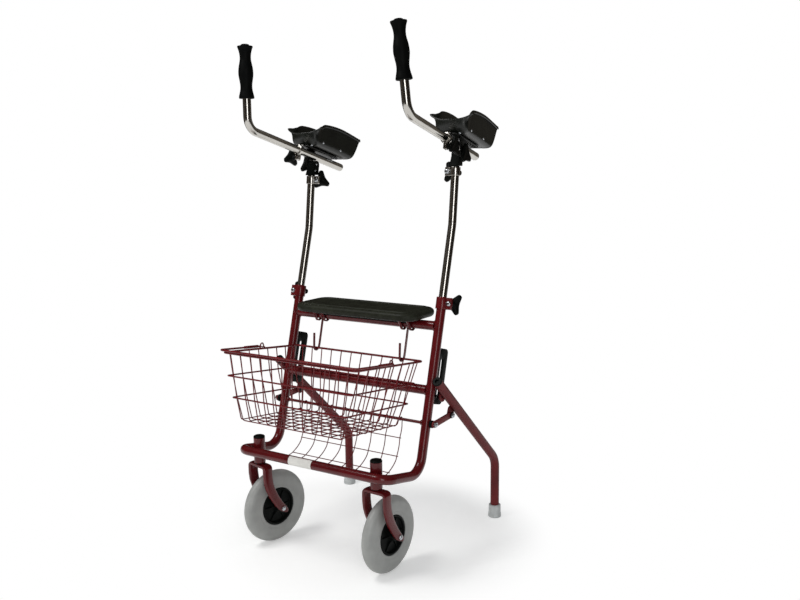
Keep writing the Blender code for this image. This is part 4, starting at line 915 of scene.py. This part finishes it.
# Clamping knobs. Black moulded three-lobed stars with hollow flanks on a flared boss, one on the
# bolt of every collar, every trough pivot and every bar clip.
KNOB_RADIUS, KNOB_THICK, KNOB_BOSS = 0.030, 0.0140, 0.0068
KNOB_FLANK = ((0, 1.0), (7, 0.99), (11, 0.95), (16, 0.84), (24, 0.70), (35, 0.59), (48, 0.53), (60, 0.51))


def knob_reach(turn_angle):
    """How far the star reaches at an angle, as a share of its radius."""
    offset = abs((math.degrees(turn_angle) - 90 + 60) % 120 - 60)
    for (low, near), (high, far) in zip(KNOB_FLANK, KNOB_FLANK[1:]):
        if offset <= high:
            share = (offset - low) / (high - low)
            return near + (far - near) * share
    return KNOB_FLANK[-1][1]


def knob_ring(share, floor_reach, height):
    """One level of the star: its outline shrunk by the share, but never inside a round of floor_reach."""
    ring = []
    for step in range(96):
        turn_angle = math.tau * step / 96
        reach_out = max(KNOB_RADIUS * knob_reach(turn_angle) * share, floor_reach)
        ring.append(Vector((reach_out * math.cos(turn_angle), reach_out * math.sin(turn_angle), height)))
    return ring


def knob(name, start, end):
    face = end - KNOB_THICK
    levels = [(0.0, KNOB_BOSS * 0.92, start), (0.0, KNOB_BOSS, start + 0.0008),
              (0.0, KNOB_BOSS + 0.0004, start + (face - start) * 0.45)]
    levels += [(0.40, 0.0085, face - 0.0010), (0.62, 0.0100, face + 0.0010), (0.84, 0.0112, face + 0.0036),
               (0.965, 0.0118, face + 0.0062), (1.0, 0.0122, face + 0.0085), (1.0, 0.0122, end - 0.0030),
               (0.975, 0.0118, end - 0.0012), (0.93, 0.0110, end - 0.0002), (0.84, 0.0100, end),
               (0.60, 0.0080, end - 0.0008), (0.30, 0.0050, end - 0.0016)]
    return stacked(name, [knob_ring(*level) for level in levels])


BAR_FALL, BAR_SPOT, TILT_SPOT = 0.262, (0.0143, 1.0825), (0.1187, 1.0305)
ALONG_BAR = Vector((0.0, 1.0, -BAR_FALL)).normalized()
ABOVE_BAR = Vector((0.0, BAR_FALL, 1.0)).normalized()


def bar_spot(side, along, above, across=0.0):
    """A point by the level part of a forearm bar: along it, above it, and outboard of it."""
    return Vector((side * (UPRIGHT_X + across), *BAR_SPOT)) + lift(side) + ALONG_BAR * along + ABOVE_BAR * above


def tilt_spot(side):
    return Vector((side * UPRIGHT_X, *TILT_SPOT)) + lift(side)


CLIP_ALONG, CLIP_BOLT = 0.0400, -0.0212
# How the left forearm unit stands in the photograph: swivelled on its pole, tilted, and its bar
# turned and slid forward in the clip.
SWIVELLED, TILTED, BAR_TURNED, BAR_SLID = 5.0, 1.0, -6.0, -0.0080


def stance(side, carried="bracket"):
    """How far the photograph's unit has moved from its middle stance, up to what carries a piece."""
    if side < 0:
        return Matrix.Identity(4)
    moves = [(pole_top(side), SWIVELLED, POLE_UP)]
    if carried in ("trough", "bar"):
        moves.append((tilt_spot(side), TILTED, X_AXIS))
    if carried == "bar":
        moves.append((bar_spot(side, 0.0, 0.0), BAR_TURNED, ALONG_BAR))
    place = Matrix.Identity(4)
    for spot, degrees, axis in moves:
        turned_by = Matrix.Rotation(math.radians(degrees), 4, axis)
        place = place @ Matrix.Translation(spot) @ turned_by @ Matrix.Translation(-spot)
    return place @ Matrix.Translation(ALONG_BAR * BAR_SLID) if carried == "bar" else place


knob_plastic = surface("black glass-filled nylon, fine grain", "#080908", "#0c0e0c", 0.008, 0.0007, 0.00004,
                       (0.36, 0.50), specular=0.06)
KNOB_TURNS = {"frame_knob_left": 35.0, "frame_knob_right": -30.0, "top_knob_left": -25.0, "top_knob_right": -6.0}
for side_name, side in SIDES:
    outboard = X_AXIS * side
    places = (("frame_knob_", collar_centre(side) + outboard * 0.022 + UP * 0.002, BEHIND, UP, 0.0053, 0.0290),
              ("top_knob_", top_collar_centre(side) - outboard * 0.022, POLE_BEHIND, POLE_UP, 0.0053, 0.0240),
              ("tilt_knob_", tilt_spot(side), outboard, Z_AXIS, 0.0163, 0.0290),
              ("clip_knob_", bar_spot(side, CLIP_ALONG, CLIP_BOLT), outboard, ABOVE_BAR, 0.0048, 0.0290))
    for cad_name, seat_spot, outward, upward, start, end in places:
        place = frame_place(seat_spot, upward.cross(outward), outward)
        place = place @ Matrix.Rotation(math.radians(KNOB_TURNS.get(cad_name + side_name, 0.0)), 4, "Z")
        if cad_name in ("tilt_knob_", "clip_knob_"):
            place = stance(side, "trough") @ place
        star = moved(knob(cad_name + "star_" + side_name, start, end), place)
        fit(star, knob_plastic, cad_name + side_name, "black_plastic", cad_name + side_name, smooth=40)

# Brackets. A black moulded block with a round pivot head on every pole, on a stem in the pole, and
# two small zinc screws in its side.
HEAD_RADIUS, BLOCK_HALF = 0.012, 0.0125
BLOCK_SCREWS = {"right": ((-0.2250, 0.1163, 1.0330), (-0.2250, 0.1109, 1.0144)),
                "left": ((0.2250, 0.1178, 1.0481), (0.2250, 0.1392, 1.0454))}
PAN_HEAD = ((0.0, 0.0016), (0.0014, 0.0016), (0.0028, 0.0012), (0.0036, 0.0004), (0.0037, -0.0006), (0.0, -0.0006))
for side_name, side in SIDES:
    body, top, pivot = "bracket_" + side_name, pole_top(side), tilt_spot(side)
    base_z = top.z + 0.0025
    corners = [(top.y - 0.0140, base_z), (top.y + 0.0190, base_z), (top.y + 0.0190, base_z + 0.009)]
    head = arc((pivot.y, pivot.z), HEAD_RADIUS, math.radians(-10), math.radians(200), 16)
    block = flat_plate("bracket_block", corners + head, 2 * BLOCK_HALF, side_place(side * UPRIGHT_X), 0.0018)
    stem = turned("bracket_stem", [(0.0, -0.030), (0.0090, -0.030), (0.0090, 0.0005), (0.0106, 0.0008),
                                   (0.0106, 0.0024), (0.0, 0.0030)], aimed(top, POLE_UP), 28)
    head_piece = moved(joined("bracket_head_" + side_name, [block, stem]), stance(side))
    fit(head_piece, nylon, body, "black_plastic", "bracket_" + side_name)
    screws = [turned("screw", PAN_HEAD, aimed(Vector(spot), -X_AXIS * side), 16) for spot in BLOCK_SCREWS[side_name]]
    fit(moved(joined("bracket_screws_" + side_name, screws), stance(side)), zinc, body, "zinc_fastener")

# Trough plates. A 3 mm black-coated steel plate under each trough, a cheek from its outer edge down
# to the pivot, and at its front a split chromed clip round the forearm bar.
CHEEK_X, PLATE_ABOVE, PLATE_FROM, PLATE_TO, PLATE_HALF = 0.0145, 0.0170, 0.0540, 0.2000, 0.0220
CHEEK_FRONT, CHEEK_REAR, CHEEK_ROUND = 0.0895, 0.1295, 0.0140
CLIP_BORE, CLIP_OUTER, CLIP_LONG = 0.0111, 0.0145, 0.0150
black_coat = surface("black powder coat on steel", "#0c0d0c", "#111210", 0.02, 0.0010, 0.00004, (0.30, 0.44),
                     specular=0.3)
for side_name, side in SIDES:
    body = "trough_" + side_name
    under_trough = frame_place(bar_spot(side, 0.0, PLATE_ABOVE), ALONG_BAR, ALONG_BAR.cross(X_AXIS))
    edge = rounded_box(PLATE_FROM, PLATE_TO, -PLATE_HALF, PLATE_HALF, 0.008, 6)
    top_plate = flat_plate("top_plate", edge, 0.003, under_trough, 0.0006)
    pivot = tilt_spot(side)
    upper = [bar_spot(side, along, PLATE_ABOVE - 0.0008) for along in (CHEEK_FRONT, CHEEK_REAR)]
    low_round = arc((pivot.y, pivot.z), CHEEK_ROUND, math.radians(-185), math.radians(190), 18)
    cheek = flat_plate("cheek", low_round + [(upper[1].y, upper[1].z), (upper[0].y, upper[0].z)], 0.003,
                       side_place(side * (UPRIGHT_X + CHEEK_X)), 0.0006)
    steel = moved(joined("trough_plate_steel_" + side_name, [top_plate, cheek]), stance(side, "trough"))
    fit(steel, black_coat, body, "black_plastic", "trough_plate_" + side_name, smooth=30)
    ring = split_collar("clip_ring", CLIP_BORE, CLIP_OUTER, CLIP_LONG, 0.0285, 0.0045)
    moved(ring, frame_place(bar_spot(side, CLIP_ALONG, 0.0), -ABOVE_BAR, ALONG_BAR))
    stalk_line = [bar_spot(side, along, above) for along, above in ((0.0370, 0.0140), (0.0440, 0.0178),
                                                                     (0.0620, 0.0182))]
    stalk = ribbon("clip_stalk", stalk_line, X_AXIS, 0.0120, 0.0030)
    fit(moved(joined("clip_ring_" + side_name, [ring, stalk]), stance(side, "trough")), chrome, body,
        "chrome_tube", smooth=30)
    low_nuts = [hex_nut("plate_nut", aimed(bar_spot(side, along, PLATE_ABOVE - 0.0014, -0.0150),
                                           -ABOVE_BAR), 0.0042, 0.0, 0.0030) for along in (0.176, 0.186, 0.195)]
    fit(moved(joined("plate_nuts_" + side_name, low_nuts), stance(side, "trough")), zinc, body, "zinc_fastener",
        smooth=25)

# Forearm troughs. Black moulded gutters open at the top: the front lip dips in the middle, the sides
# swell outward, and the edge is rounded and thickened all round.
TROUGH_ROWS = ((0.0400, 0.0514, 0.0490, 0.0665, 0.0590), (0.0480, 0.0590, 0.0345, 0.0700, 0.0530),
               (0.0640, 0.0740, 0.0222, 0.0760, 0.0480), (0.0920, 0.0960, 0.0222, 0.0865, 0.0475),
               (0.1550, 0.1660, 0.0222, 0.0935, 0.0475), (0.2220, 0.2600, 0.0222, 0.0890, 0.0470))
SADDLE = ((0.0, 0.0), (0.22, 0.03), (0.43, 0.12), (0.61, 0.27), (0.76, 0.46), (0.88, 0.68), (0.96, 0.87), (1.0, 1.0))
CHANNEL = ((0.0, 0.0), (0.40, 0.0), (0.74, 0.03), (0.88, 0.14), (0.90, 0.45), (0.905, 0.80), (0.94, 1.0), (1.0, 0.92))
TROUGH_WALL, TROUGH_LIP = 0.0030, 0.0024
TROUGH_ACROSS, TROUGH_LONG = 56, 44
PAN_SCREW = ((0.0, 0.0020), (0.0016, 0.0019), (0.0031, 0.0013), (0.0038, 0.0003), (0.0038, -0.0012), (0.0, -0.0012))
trough_black = surface("black moulded polypropylene, soft sheen", "#10120f", "#161914", 0.03, 0.0009, 0.00005,
                       (0.26, 0.38), specular=0.4)


def between(rows, share):
    """The row of numbers at a share of the way down the table, on a smooth curve through its rows."""
    place = share * (len(rows) - 1)
    index = min(int(place), len(rows) - 2)
    return [on_curve(*four, place - index) for four in zip(*neighbours(rows, index))]


def trough_spot(side, share, across_share):
    along_middle, along_edge, above_middle, above_edge, half = between(TROUGH_ROWS, share)
    saddle, channel = between(SADDLE, abs(across_share)), between(CHANNEL, abs(across_share))
    deep = min(share / 0.40, 1.0)
    deep = deep * deep * (3 - 2 * deep)
    reach_out, climb = [share_between(near, far, deep) for near, far in zip(saddle, channel)]
    return bar_spot(side, along_middle + (along_edge - along_middle) * max(climb, 0.0) ** 0.5,
                    above_middle + (above_edge - above_middle) * climb, math.copysign(half * reach_out, across_share))


for side_name, side in SIDES:
    body, wide, place = "trough_" + side_name, TROUGH_ACROSS + 1, stance(side, "trough")
    grid = [[trough_spot(side, row / TROUGH_LONG, 2 * column / TROUGH_ACROSS - 1) for column in range(wide)]
            for row in range(TROUGH_LONG + 1)]
    gutter = meshed("forearm_gutter", [point for row in grid for point in row], grid_faces(TROUGH_LONG + 1, wide))
    shape(gutter, ("SOLIDIFY", {"thickness": TROUGH_WALL, "offset": 0.0, "use_even_offset": True}))
    in_edit(gutter, FACED_OUT)
    rim = grid[0] + [row[-1] for row in grid[1:]] + grid[-1][-2::-1] + [row[0] for row in grid[-2:0:-1]]
    lip = drawn("trough_lip", [rim], TROUGH_LIP, 10, True)
    fit(moved(joined("forearm_gutter_" + side_name, [gutter, lip]), place), trough_black, body, "trough_plastic",
        "forearm_trough_" + side_name, smooth=50)
    screws = []
    for way in (1.0, -1.0):
        for along in (0.0920, 0.1760):
            spot, outward = bar_spot(side, along, 0.0345, way * 0.0432), X_AXIS * way * side - ABOVE_BAR * 0.22
            screws.append(turned("screw", PAN_SCREW, aimed(spot, outward.normalized()), 18))
        spot = bar_spot(side, 0.0640, 0.0215, way * 0.0228)
        screws.append(turned("screw", PAN_SCREW, aimed(spot, -ALONG_BAR), 18))
    fit(moved(joined("trough_screws_" + side_name, screws), place), zinc, body, "zinc_fastener")

# Forearm bars. 22 mm chromed tube, level under the trough and bent up to the grip in front, its rear end
# open, with a dark disc of painted shade just inside the mouth standing in for the unlit bore.
BAR_RADIUS, BAR_BEND, BAR_WALL = 0.0110, 0.042, 0.0015
BAR_REAR, BAR_CORNER, GRIP_TOP = 0.2479, -0.1561, 1.344
BAR_BORE = BAR_RADIUS - BAR_WALL
BAR_MOUTH = ((BAR_BORE, -0.0300), (BAR_BORE, -0.0006), (BAR_BORE + 0.0004, 0.0), (BAR_RADIUS - 0.0004, 0.0),
             (BAR_RADIUS + 0.00003, -0.0006), (BAR_RADIUS + 0.00003, -0.0020))
# The bore's colour is painted shade: a dark disc stands in for the unlit inside of the tube.
painted_bore_shade = surface("painted shade inside the bar's bore", "#1a1917", "#100f0e", 0.01, 0.001, 0.00002, (0.6, 0.8))


def bar_line(side, y):
    return bar_spot(side, 0.0, 0.0) + Vector((0.0, 1.0, -BAR_FALL)) * (y - BAR_SPOT[0])


for side_name, side in SIDES:
    corner = bar_line(side, BAR_CORNER)
    top = Vector((corner.x, corner.y, GRIP_TOP - 0.018 + lift(side).z))
    line = rounded([bar_line(side, BAR_REAR - 0.0008), corner, top], [BAR_BEND], 12)
    bar = drawn("bar", [line], BAR_RADIUS, 32)
    mouth = turned("bar_mouth", BAR_MOUTH, aimed(bar_line(side, BAR_REAR), ALONG_BAR), 32)
    place = stance(side, "bar")
    fit(moved(joined("forearm_bar_tube_" + side_name, [bar, mouth]), place), chrome, "bar_" + side_name,
        "chrome_tube", "forearm_bar_" + side_name)
    # A dark disc just inside the open rear end: painted shade for the inside of the tube.
    disc = [(0.0, -0.0010), (BAR_BORE + 0.0001, -0.0010), (BAR_BORE + 0.0001, -0.0004), (0.0, -0.0004)]
    bore = turned("bar_bore_shade_" + side_name, disc, aimed(bar_line(side, BAR_REAR), ALONG_BAR), 32)
    fit(moved(bore, place), painted_bore_shade, "bar_" + side_name, "chrome_tube")

# Hand grips. Black moulded grips: a flare at each end, a bulge for the palm between two waists, a
# fine grain, and a low dome in the middle of the top.
GRIP_BASE_Z = 1.2046
GRIP_CURVE = ((0.0112, 0.0), (0.0185, 0.0004), (0.0200, 0.0022), (0.0198, 0.0060), (0.0182, 0.0130),
              (0.0163, 0.0215), (0.0155, 0.0300), (0.0160, 0.0390), (0.0178, 0.0500), (0.0192, 0.0600),
              (0.0194, 0.0680), (0.0186, 0.0780), (0.0168, 0.0880), (0.0150, 0.0970), (0.0145, 0.1040),
              (0.0149, 0.1120), (0.0166, 0.1210), (0.0188, 0.1280), (0.0200, 0.1310), (0.0200, 0.1330),
              (0.0188, 0.1344), (0.0120, 0.1348), (0.0112, 0.1368), (0.0092, 0.1386), (0.0050, 0.1396), (0.0, 0.1398))
grip_black = surface("black moulded PVC grip, satin", "#070808", "#0b0c0b", 0.02, 0.0008, 0.00006, (0.46, 0.58),
                     specular=0.05)
for side_name, side in SIDES:
    corner = bar_line(side, BAR_CORNER)
    base = Vector((corner.x, corner.y, GRIP_BASE_Z + lift(side).z))
    curve = smoothed([(radius, 0.0, height) for radius, height in GRIP_CURVE], 3)
    profile = [(0.0, 0.0004)] + [(max(point.x, 0.0), point.z) for point in curve]
    moulding = turned("hand_grip_moulding_" + side_name, profile, aimed(base, Z_AXIS), 44)
    fit(moved(moulding, stance(side, "bar")), grip_black, "bar_" + side_name, "grip_rubber",
        "hand_grip_" + side_name, smooth=40)
